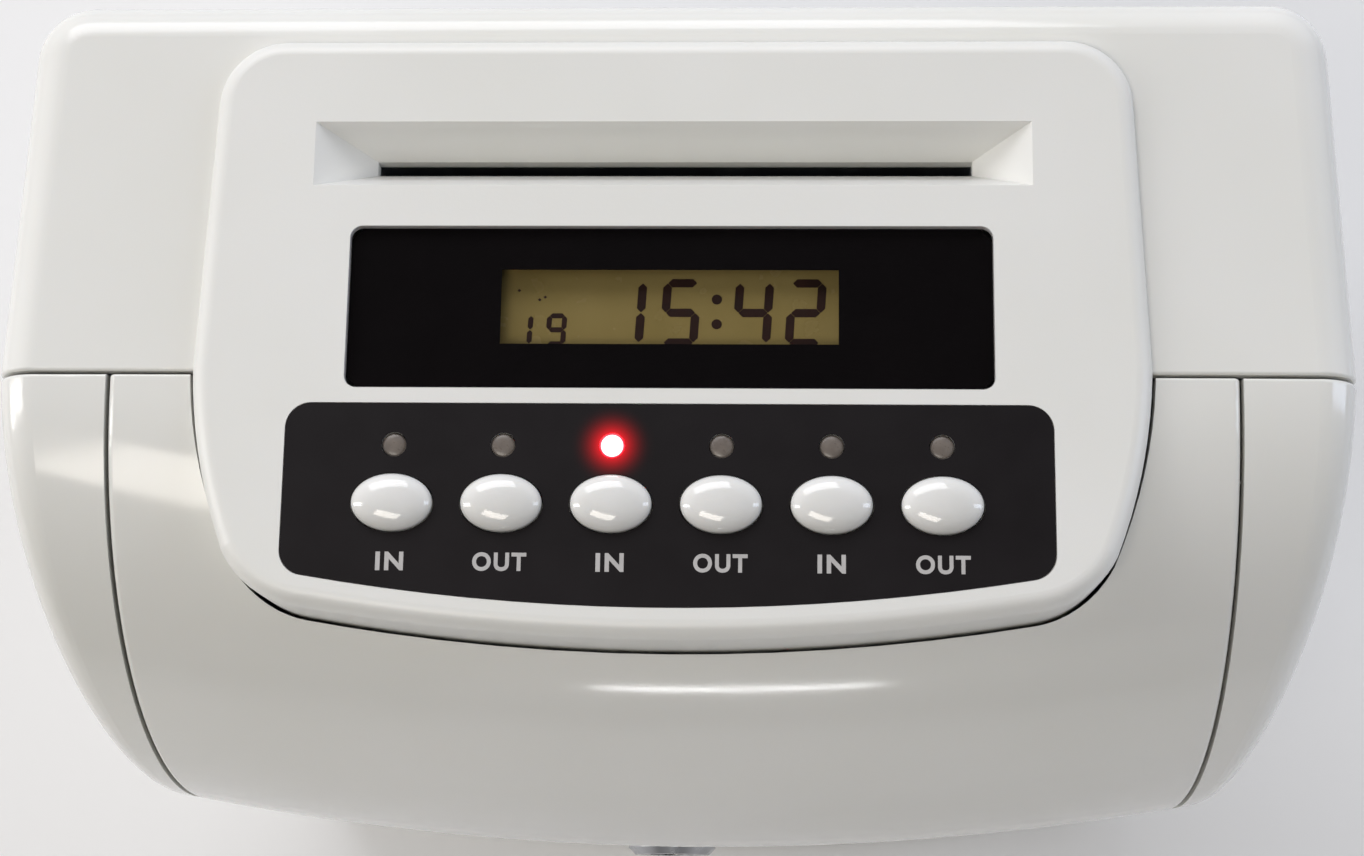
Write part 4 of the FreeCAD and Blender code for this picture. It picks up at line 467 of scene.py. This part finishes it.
# display cell, reflective rear film: olive, drifting a little darker in places
DISPLAY_CELL = Finish("display_cell_olive", "a2925a", "988850", 14.0, 0.26, 0.05, 1.2, 0.002, ior=1.52)
# PVC, moulded matt: rubber feet and rollers with dust in the grain
RUBBER = Finish("moulded_rubber_black", "1d1d1e", "29292a", 8.0, 0.75, 0.12, 0.6, 0.03)
# zinc die casting, satin plated: the lock's body and nut
LOCK_ZINC = Finish("zinc_satin_plated", "b4b5b8", "9c9da0", 5.0, 0.3, 0.12, 0.5, 0.006,
                   metallic=1.0, lie=Axis.Y)
# steel, nickel plated: the lock's plug and cam
LOCK_STEEL = Finish("steel_nickel_plated", "c4c3bd", "aeada7", 6.0, 0.24, 0.1, 0.5, 0.006,
                    metallic=1.0, lie=Axis.X)
# zinc-plated sheet steel, rolled: grey with a bluish spangle along the rolling
SHEET_STEEL = Finish("sheet_steel_zinc_plated", "b3b7ba", "9aa0a6", 12.0, 0.34, 0.14, 0.6, 0.006,
                     metallic=1.0, lie=Axis.Z)
# screws, zinc plated and passivated: yellowish in the creases
SCREW_STEEL = Finish("screw_steel_passivated", "a9a696", "86816c", 3.0, 0.36, 0.14, 0.5, 0.01,
                     metallic=1.0)
# ground shafts: fine lines round them
SHAFT_STEEL = Finish("shaft_steel_ground", "c9cacc", "b4b5b8", 20.0, 0.18, 0.08, 0.3, 0.003,
                     metallic=1.0, lie=Axis.X)
# sintered bronze and turned brass
BRASS = Finish("turned_brass", "c7a154", "a9843d", 4.0, 0.28, 0.12, 0.4, 0.006, metallic=1.0, lie=Axis.Y)
# acetal, hobbed: milky white with a waxy sheen
ACETAL = Finish("acetal_hobbed", "e2dfd2", "d3cfbf", 10.0, 0.4, 0.08, 0.8, 0.01, ior=1.48,
                subsurface=0.15)
# glass-filled nylon, moulded: black with a faint streaked grain
NYLON = Finish("glass_filled_nylon", "1c1c1e", "2b2b2e", 6.0, 0.5, 0.14, 0.5, 0.02, ior=1.53)
# cast aluminium, bead blasted: the print head
HEAD_ALLOY = Finish("cast_aluminium_blasted", "9b9da0", "86888b", 8.0, 0.45, 0.12, 0.4, 0.02,
                    metallic=1.0)
# PBT switch and socket bodies
SWITCH_PBT = Finish("moulded_pbt_black", "161617", "222223", 5.0, 0.42, 0.1, 0.4, 0.012)
# epoxy packages with a mark at pin one
PACKAGE_EPOXY = Finish("moulded_epoxy_package", "202022", "2f2f31", 5.0, 0.55, 0.12, 0.3, 0.012)
# fibreglass board under green solder mask
BOARD = BoardMask("solder_mask_green", "0d4a28", "1a6b3c", 10.0, 0.3, 0.08, 0.5, 0.01)
# nylon ribbon soaked in ink
INK_CLOTH = Woven("inked_nylon_weave", "17121f", "241c33", 12.0, 0.7, 0.1, 0.5, 0.05)
# battery sleeve, shrunk PVC: glossy green with a dark band
CELL_SLEEVE = Finish("shrink_sleeve_green", "1f6a43", "185437", 16.0, 0.22, 0.08, 3.0, 0.02)
# flat cable, extruded PVC over a row of wires
CABLE_PVC = Finish("flat_cable_pvc", "c3c4c8", "aeb0b6", 4.0, 0.4, 0.1, 1.27, 0.12, lie=Axis.Y)
# studio sweep, painted
STUDIO_PAINT = Finish("studio_floor_paint", "f4f4f4", "f0f0f0", 400.0, 0.7, 0.05, 2.0, 0.01)


# ------------------------------------------------------------------ casing
@dataclass
class Casing:
    """The covers, the base and the screws that hold them."""

    covers: tuple[str, ...] = ("rear_cover", "right_side_cover", "left_side_cover", "front_cover",
                               "base_tray")

    def build(self) -> None:
        """Dresses the covers and their fasteners."""
        dress(self.covers, COVER_ABS.build())
        dress(("top_panel",), PANEL_ABS.build())
        dress(("casing_screws", "board_screws"), SCREW_STEEL.build())
        dress(("rubber_feet", "platen", "feed_rollers", "pinch_rollers"), RUBBER.build())


# ------------------------------------------------------------------ display
class Segment(Enum):
    """The seven bars of a digit: middle in X and Y and the turn, in half widths and heights."""

    TOP = (0.0, 1.0, 0)
    UPPER_LEFT = (-1.0, 0.5, 90)
    UPPER_RIGHT = (1.0, 0.5, 90)
    MIDDLE = (0.0, 0.0, 0)
    LOWER_LEFT = (-1.0, -0.5, 90)
    LOWER_RIGHT = (1.0, -0.5, 90)
    BOTTOM = (0.0, -1.0, 0)


DIGITS: dict[str, tuple[Segment, ...]] = {
    "1": (Segment.UPPER_RIGHT, Segment.LOWER_RIGHT),
    "2": (Segment.TOP, Segment.UPPER_RIGHT, Segment.MIDDLE, Segment.LOWER_LEFT, Segment.BOTTOM),
    "4": (Segment.UPPER_LEFT, Segment.MIDDLE, Segment.UPPER_RIGHT, Segment.LOWER_RIGHT),
    "5": (Segment.TOP, Segment.UPPER_LEFT, Segment.MIDDLE, Segment.LOWER_RIGHT, Segment.BOTTOM),
    "9": (Segment.TOP, Segment.UPPER_LEFT, Segment.UPPER_RIGHT, Segment.MIDDLE,
          Segment.LOWER_RIGHT, Segment.BOTTOM),
}


@dataclass
class Display:
    """The dark window and the digits on the display cell."""

    digit_middles_mm: tuple[tuple[str, float], ...] = (("1", -6.4), ("5", 1.5), ("4", 12.0), ("2", 19.6))
    digit_width_mm: float = 4.3
    digit_height_mm: float = 8.9
    digit_y_mm: float = 9.1
    bar_mm: float = 1.25
    slant: float = 0.06
    small_middles_mm: tuple[tuple[str, float], ...] = (("1", -21.4), ("9", -16.5))
    small_width_mm: float = 2.2
    small_height_mm: float = 4.2
    small_y_mm: float = 6.5
    small_bar_mm: float = 0.75
    colon_x_mm: float = 6.75
    dot_mm: float = 1.5
    colon_y_mm: tuple[float, float] = (11.1, 7.4)
    flag_places_mm: tuple[tuple[float, float], ...] = ((-22.0, 12.4), (-19.0, 11.0), (-18.2, 11.4))
    flag_size_mm: tuple[float, float] = (0.5, 0.4)
    point_share: float = 0.45
    gap_share: float = 0.15
    film_mm: float = 0.03
    glass_top: float = field(default_factory=lambda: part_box("lcd_glass")[1].z)

    def bar(self, bm: bmesh.types.BMesh, length: float, width: float, place: Matrix) -> None:
        """Adds one bar with pointed ends, lying on the display cell.

        Args:
            bm: Mesh that takes the bar.
            length: From point to point, in mm.
            width: Across the bar, in mm.
            place: Where the bar goes, in metres.
        """
        made = bmesh.ops.create_cube(bm, size=1.0)["verts"]
        size = Matrix.Diagonal((length * MM, width * MM, self.film_mm * MM, 1.0))
        bmesh.ops.transform(bm, matrix=size, verts=made)
        inside = set(made)
        corners = [edge for vert in made for edge in vert.link_edges
                   if edge.verts[0] in inside and abs(edge.verts[0].co.z - edge.verts[1].co.z) > 1e-6]
        bevelled = bmesh.ops.bevel(bm, geom=list(set(corners)), offset=width * MM * self.point_share,
                                   affect="EDGES", segments=1, profile=0.5, material=-1)
        inside = inside | set(bevelled["verts"])
        bmesh.ops.transform(bm, matrix=place, verts=[v for v in inside if v.is_valid])

    def digit(self, bm: bmesh.types.BMesh, sign: str, middle: Vector, width: float,
              height: float, bar: float) -> None:
        """Adds one seven-bar digit.

        Args:
            bm: Mesh that takes the digit.
            sign: The digit.
            middle: Its middle, in metres.
            width: Between the middles of its upright bars, in mm.
            height: Between the middles of its top and bottom bars, in mm.
            bar: Width of a bar, in mm.
        """
        lean = Matrix.Identity(4)
        lean[0][1] = self.slant
        for part in DIGITS[sign]:
            across, up, turn = part.value
            length = (height / 2 if turn else width) - bar * self.gap_share
            spot = Vector((across * width / 2 * MM, up * height / 2 * MM, 0))
            place = (Matrix.Translation(middle) @ lean @ Matrix.Translation(spot)
                     @ Matrix.Rotation(math.radians(turn), 4, "Z"))
            self.bar(bm, length, bar, place)

    def build(self) -> None:
        """Makes the digits and dresses the window, its mask and the display cell."""
        level = self.glass_top + self.film_mm * MM / 2
        bm = bmesh.new()
        for sign, x in self.digit_middles_mm:
            spot = Vector((x * MM, PARTING + self.digit_y_mm * MM, level))
            self.digit(bm, sign, spot, self.digit_width_mm, self.digit_height_mm, self.bar_mm)
        for sign, x in self.small_middles_mm:
            spot = Vector((x * MM, PARTING + self.small_y_mm * MM, level))
            self.digit(bm, sign, spot, self.small_width_mm, self.small_height_mm, self.small_bar_mm)
        for y in self.colon_y_mm:
            place = Matrix.Translation((self.colon_x_mm * MM, PARTING + y * MM, level))
            bmesh.ops.create_cone(bm, cap_ends=True, segments=24, radius1=self.dot_mm / 2 * MM,
                                  radius2=self.dot_mm / 2 * MM, depth=self.film_mm * MM, matrix=place)
        for x, y in self.flag_places_mm:
            self.bar(bm, *self.flag_size_mm, Matrix.Translation((x * MM, PARTING + y * MM, level)))
        digits = finished(bm, "display_digits")
        settle(digits, "clock", SEGMENT_INK.build())
        dress(("lcd_glass",), DISPLAY_CELL.build())
        dress(("display_window",), WINDOW_ACRYLIC.build())
        dress(("window_mask",), WINDOW_INK.build())


# ------------------------------------------------------------------ keypad
@dataclass
class Keypad:
    """The overlay, its labels, the domed keys and the indicator lights."""

    count: int = 6
    lit: int = 2
    key_long_mm: float = 11.5
    key_short_mm: float = 8.2
    dome_mm: float = 2.1
    side_mm: float = 3.0
    flange_grow: float = 1.17
    flange_mm: float = 1.4
    stem_share: float = 0.3
    lens_radius_mm: float = 1.7
    lens_dome_mm: float = 0.42
    label_drop_mm: float = 8.35
    label_weight: float = 0.035
    label_spacing: float = 1.18
    label_lift_mm: float = 0.012
    ink_mm: float = 0.02
    label_height_mm: float = 2.65
    label_widths_mm: tuple[float, float] = (3.95, 7.6)

    def key_nodes(self) -> list[str]:
        """Gives the CAD names of the keys, from the left."""
        return [f"{'out' if n % 2 else 'in'}_button_{n // 2 + 1}" for n in range(self.count)]

    def key(self, node: str) -> bpy.types.Object:
        """Makes one oval key: a dome over a short skirt, a flange and a stem.

        Args:
            node: CAD node that the key stands for.

        Returns:
            The key.
        """
        low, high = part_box(node)
        middle = (low + high) / 2
        bm = bmesh.new()
        bmesh.ops.create_uvsphere(bm, u_segments=64, v_segments=32, radius=1.0)
        bmesh.ops.bisect_plane(bm, geom=bm.verts[:] + bm.edges[:] + bm.faces[:], dist=1e-6,
                               plane_co=(0, 0, 0), plane_no=(0, 0, -1), clear_outer=True)
        bmesh.ops.transform(bm, verts=bm.verts[:],
                            matrix=Matrix.Diagonal((self.key_long_mm / 2 * MM, self.key_short_mm / 2 * MM,
                                                    self.dome_mm * MM, 1.0)))
        below = self.dome_mm + self.side_mm + self.flange_mm
        steps = ((1.0, -self.side_mm), (self.flange_grow, 0.0), (1.0, -self.flange_mm),
                 (self.stem_share, 0.0), (1.0, (low.z - high.z) / MM + below))
        for grow, drop in steps:
            rim = [edge for edge in bm.edges if edge.is_boundary]
            new = bmesh.ops.extrude_edge_only(bm, edges=rim)["geom"]
            verts = [item for item in new if isinstance(item, bmesh.types.BMVert)]
            bmesh.ops.transform(bm, matrix=Matrix.Diagonal((grow, grow, 1.0, 1.0)), verts=verts)
            bmesh.ops.translate(bm, vec=(0, 0, drop * MM), verts=verts)
        bmesh.ops.holes_fill(bm, edges=[edge for edge in bm.edges if edge.is_boundary])
        bmesh.ops.translate(bm, vec=(middle.x, middle.y, high.z - self.dome_mm * MM), verts=bm.verts)
        return finished(bm, f"domed_{node}", 50.0)

    def lens(self, name: str, x: float, y: float) -> bpy.types.Object:
        """Makes the low dome of an indicator light.

        Args:
            name: Name of the piece.
            x: Its middle, in metres.
            y: Its middle, in metres.

        Returns:
            The dome.
        """
        bm = bmesh.new()
        bmesh.ops.create_uvsphere(bm, u_segments=40, v_segments=20, radius=1.0)
        bmesh.ops.bisect_plane(bm, geom=bm.verts[:] + bm.edges[:] + bm.faces[:], dist=1e-6,
                               plane_co=(0, 0, 0), plane_no=(0, 0, -1), clear_outer=True)
        bmesh.ops.holes_fill(bm, edges=[edge for edge in bm.edges if edge.is_boundary])
        radius = self.lens_radius_mm * MM
        bmesh.ops.transform(bm, verts=bm.verts[:],
                            matrix=Matrix.Diagonal((radius, radius, self.lens_dome_mm * MM, 1.0)))
        bmesh.ops.translate(bm, vec=(x, y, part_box("lit_indicator")[1].z), verts=bm.verts)
        return finished(bm, name, 60.0)

    def label(self, number: int, x: float, y: float, level: float) -> bpy.types.Object:
        """Makes the word under one key.

        Args:
            number: The key's place from the left, from 0.
            x: Middle of the word, in metres.
            y: Middle of the word, in metres.
            level: Height that it lies at, in metres.

        Returns:
            The word as a mesh.
        """
        word = "OUT" if number % 2 else "IN"
        curve = bpy.data.curves.new(f"label_curve_{number}", "FONT")
        curve.body = word
        curve.offset = self.label_weight
        curve.space_character = self.label_spacing
        flat = bpy.data.objects.new(f"label_text_{number}", curve)
        bpy.context.scene.collection.objects.link(flat)
        bpy.context.view_layer.update()
        mesh = bpy.data.meshes.new_from_object(flat.evaluated_get(bpy.context.evaluated_depsgraph_get()))
        bpy.data.objects.remove(flat)
        bm = bmesh.new()
        bm.from_mesh(mesh)
        bpy.data.meshes.remove(mesh)
        corners = [vert.co.copy() for vert in bm.verts]
        low = Vector([min(corner[i] for corner in corners) for i in range(3)])
        high = Vector([max(corner[i] for corner in corners) for i in range(3)])
        width = self.label_widths_mm[number % 2] * MM / (high.x - low.x)
        height = self.label_height_mm * MM / (high.y - low.y)
        bmesh.ops.translate(bm, vec=-(low + high) / 2, verts=bm.verts)
        bmesh.ops.transform(bm, matrix=Matrix.Diagonal((width, height, 1.0, 1.0)), verts=bm.verts)
        bmesh.ops.solidify(bm, geom=bm.faces[:], thickness=self.ink_mm * MM)
        bmesh.ops.translate(bm, vec=(x, y, level), verts=bm.verts)
        return finished(bm, f"key_label_{number + 1}", 30.0)

    def build(self) -> None:
        """Makes the keys, lenses and labels and dresses the overlay."""
        key_finish, label_finish = KEY_ABS.build(), LABEL_INK.build()
        lamp = (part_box("lit_indicator")[0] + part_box("lit_indicator")[1]) / 2
        lamp.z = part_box("lit_indicator")[1].z
        lit = LitLens("diffused_epoxy_lit", "ff1420", "ff2a30", 2.0, 0.3, 0.02, 0.5, 0.002,
                      centre=tuple(lamp)).build()
        dark = DARK_LENS.build()
        # polyester film, printed from behind with a fine texture: matt dark grey, with a painted red glow
        # round the lit lamp
        film = LampFilm("textured_polyester_film", "0c070a", "0f090d", 25.0, 0.5, 0.06, 0.35, 0.012,
                        ior=1.36, lamp=tuple(lamp)).build()
        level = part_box("keypad_overlay")[1].z + self.label_lift_mm * MM
        for number, node in enumerate(self.key_nodes()):
            low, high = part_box(node)
            x, y = (low.x + high.x) / 2, (low.y + high.y) / 2
            key = self.key(node)
            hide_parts(node)
            settle(key, f"{node}_body", key_finish)
            label = self.label(number, x, y - self.label_drop_mm * MM, level)
            settle(label, "clock", label_finish)
            name = "lit_lens_dome" if number == self.lit else f"dark_lens_dome_{number + 1}"
            lens = self.lens(name, x, lamp.y)
            settle(lens, "clock", lit if number == self.lit else dark)
        dress(("keypad_overlay",), film)
        dress(("lit_indicator",), lit)
        dress(("dark_indicators",), dark)


# ------------------------------------------------------------------ inside
@dataclass
class Mechanism:
    """The lock, chassis, card drive and printer."""

    def build(self) -> None:
        """Dresses every piece of the mechanism."""
        dress(("lock_body", "lock_nut"), LOCK_ZINC.build())
        dress(("lock_plug", "lock_cam"), LOCK_STEEL.build())
        dress(("chassis_deck", "right_chassis_plate", "left_chassis_plate", "chassis_cross_members",
               "card_guide_front", "card_guide_rear"), SHEET_STEEL.build())
        dress(("feed_shaft", "pinch_shaft", "guide_rod", "lead_screw", "hinge_pins"),
              SHAFT_STEEL.build())
        dress(("shaft_bushes", "carriage_nut"), BRASS.build())
        dress(("feed_gear", "screw_gear", "feed_pinion", "carriage_pinion"), ACETAL.build())
        dress(("print_carriage", "ribbon_cassette", "ribbon_knob"), NYLON.build())
        dress(("print_head",), HEAD_ALLOY.build())
        dress(("ink_ribbon",), INK_CLOTH.build())
        low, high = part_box("feed_motor")
        # stepper motor: painted laminations between cast aluminium ends
        can = Banded("stepper_motor_can", "1b1b1d", "252527", 8.0, 0.4, 0.12, 0.5, 0.02,
                     ends=(low.x, high.x))
        dress(("feed_motor", "carriage_motor"), can.build())


@dataclass
class Electronics:
    """The boards, their parts, the inlet, the cable and the backup battery."""

    def build(self) -> None:
        """Dresses the electronics."""
        dress(("keypad_board", "main_board"), BOARD.build())
        dress(("board_components",), PACKAGE_EPOXY.build())
        dress(("tact_switches", "lcd_frame", "dc_jack"), SWITCH_PBT.build())
        dress(("display_cable",), CABLE_PVC.build())
        dress(("backup_battery",), CELL_SLEEVE.build())


# ------------------------------------------------------------------ studio
@dataclass(frozen=True)
class Softbox:
    """A soft rectangular light that faces the clock: place and size in metres, power in watts."""

    name: str
    place: tuple[float, float, float]
    size: tuple[float, float]
    power: float
    tone: str


@dataclass
class Studio:
    """The floor, the soft lights and the camera."""

    lens_mm: float = 60.7
    sensor_mm: float = 36.0
    eye_mm: tuple[float, float, float] = (15.848, -78.677, 320.313)
    rise_deg: float = 77.36
    turn_deg: float = 11.119
    tilt_deg: float = -10.583
    floor_half: float = 3.0
    horizon_strength: float = 0.92
    overhead_strength: float = 0.02
    front_share: float = 0.06
    aim: tuple[float, float, float] = (0.0, 0.0, 0.18)
    lights: tuple[Softbox, ...] = (
        Softbox("key_softbox", (-0.35, 1.15, 1.1), (1.2, 0.7), 9.5, "fbfbff"),
        Softbox("front_softbox", (-0.3, -0.55, 1.35), (0.7, 0.35), 5.0, "fff8ee"),
        Softbox("right_softbox", (1.2, 0.1, 0.7), (0.25, 0.9), 2.8, "dce9ff"),
        Softbox("left_softbox", (-1.2, 0.0, 0.7), (0.2, 0.9), 4.2, "fffdfa"),
        Softbox("front_tube", (0.02, -1.5, 0.45), (0.36, 0.02), 0.9, "ffffff"),
    )

    def camera(self) -> None:
        """Puts the camera over the front of the clock, looking down at its panel."""
        rise, turn, tilt = (math.radians(a) for a in (self.rise_deg, self.turn_deg, self.tilt_deg))
        back = Vector((math.sin(turn) * math.cos(rise), -math.cos(turn) * math.cos(rise), math.sin(rise)))
        right = (-back).cross(Vector((0, 0, 1))).normalized()
        up = right.cross(-back)
        right, up = (math.cos(tilt) * right + math.sin(tilt) * up,
                     math.cos(tilt) * up - math.sin(tilt) * right)
        data = bpy.data.cameras.new("camera")
        data.lens = self.lens_mm
        data.sensor_width = self.sensor_mm
        data.sensor_fit = "HORIZONTAL"
        data.clip_start = 0.01
        view = bpy.data.objects.new("camera", data)
        x, y, z = self.eye_mm
        turned = Matrix((right, up, back)).transposed().to_4x4()
        view.matrix_world = Matrix.Translation((x * MM, PARTING + y * MM, TOP + z * MM)) @ turned
        bpy.context.scene.collection.objects.link(view)
        bpy.context.scene.camera = view

    def light(self, box: Softbox) -> None:
        """Adds one light.

        Args:
            box: What it is and where it hangs.
        """
        data = bpy.data.lights.new(box.name, "AREA")
        data.shape = "RECTANGLE"
        data.size, data.size_y = box.size
        data.energy = box.power
        data.color = linear(box.tone)[:3]
        lamp = bpy.data.objects.new(box.name, data)
        way = Vector(self.aim) - Vector(box.place)
        turned = way.to_track_quat("-Z", "Y").to_matrix().to_4x4()
        lamp.matrix_world = Matrix.Translation(box.place) @ turned
        bpy.context.scene.collection.objects.link(lamp)

    def floor(self) -> None:
        """Lays the plain pale floor."""
        bm = bmesh.new()
        bmesh.ops.create_grid(bm, x_segments=1, y_segments=1, size=self.floor_half)
        ground = finished(bm, "studio_floor")
        ground.data.materials.append(STUDIO_PAINT.build())

    def build(self) -> None:
        """Sets up the camera, the floor, the sky and the lights."""
        self.camera()
        self.floor()
        bpy.context.scene.view_settings.view_transform = "Standard"
        self.air()
        for box in self.lights:
            self.light(box)

    def air(self) -> None:
        """Lights the clock from all round, less from the front and hardly from overhead."""
        world = bpy.data.worlds.new("studio_air")
        world.use_nodes = True
        tree = world.node_tree
        place = add_node(tree, "ShaderNodeTexCoord")
        way = add_node(tree, "ShaderNodeSeparateXYZ", links={"Vector": place.outputs["Generated"]})
        upward = add_node(tree, "ShaderNodeMapRange", {"interpolation_type": "SMOOTHSTEP"},
                          {"From Min": 0.5, "From Max": 0.9, "To Min": self.horizon_strength,
                           "To Max": self.overhead_strength}, {"Value": way.outputs["Z"]})
        forward = add_node(tree, "ShaderNodeMapRange", {"interpolation_type": "SMOOTHSTEP"},
                           {"From Min": -0.8, "From Max": 0.2, "To Min": self.front_share,
                            "To Max": 1.0}, {"Value": way.outputs["Y"]})
        strength = add_node(tree, "ShaderNodeMath", {"operation": "MULTIPLY"},
                            links={0: upward.outputs["Result"], 1: forward.outputs["Result"]})
        air = tree.nodes["Background"]
        air.inputs["Color"].default_value = linear("fbfbff")
        tree.links.new(strength.outputs["Value"], air.inputs["Strength"])
        bpy.context.scene.world = world


def main() -> None:
    """Builds every piece of the clock's looks, then the studio."""
    logging.basicConfig(level=logging.INFO, format="%(name)s: %(message)s")
    for part in (Studio(), Casing(), Display(), Keypad(), Mechanism(), Electronics()):
        log.info("building %s", type(part).__name__)
        part.build()


if __name__ == "__main__":
    main()
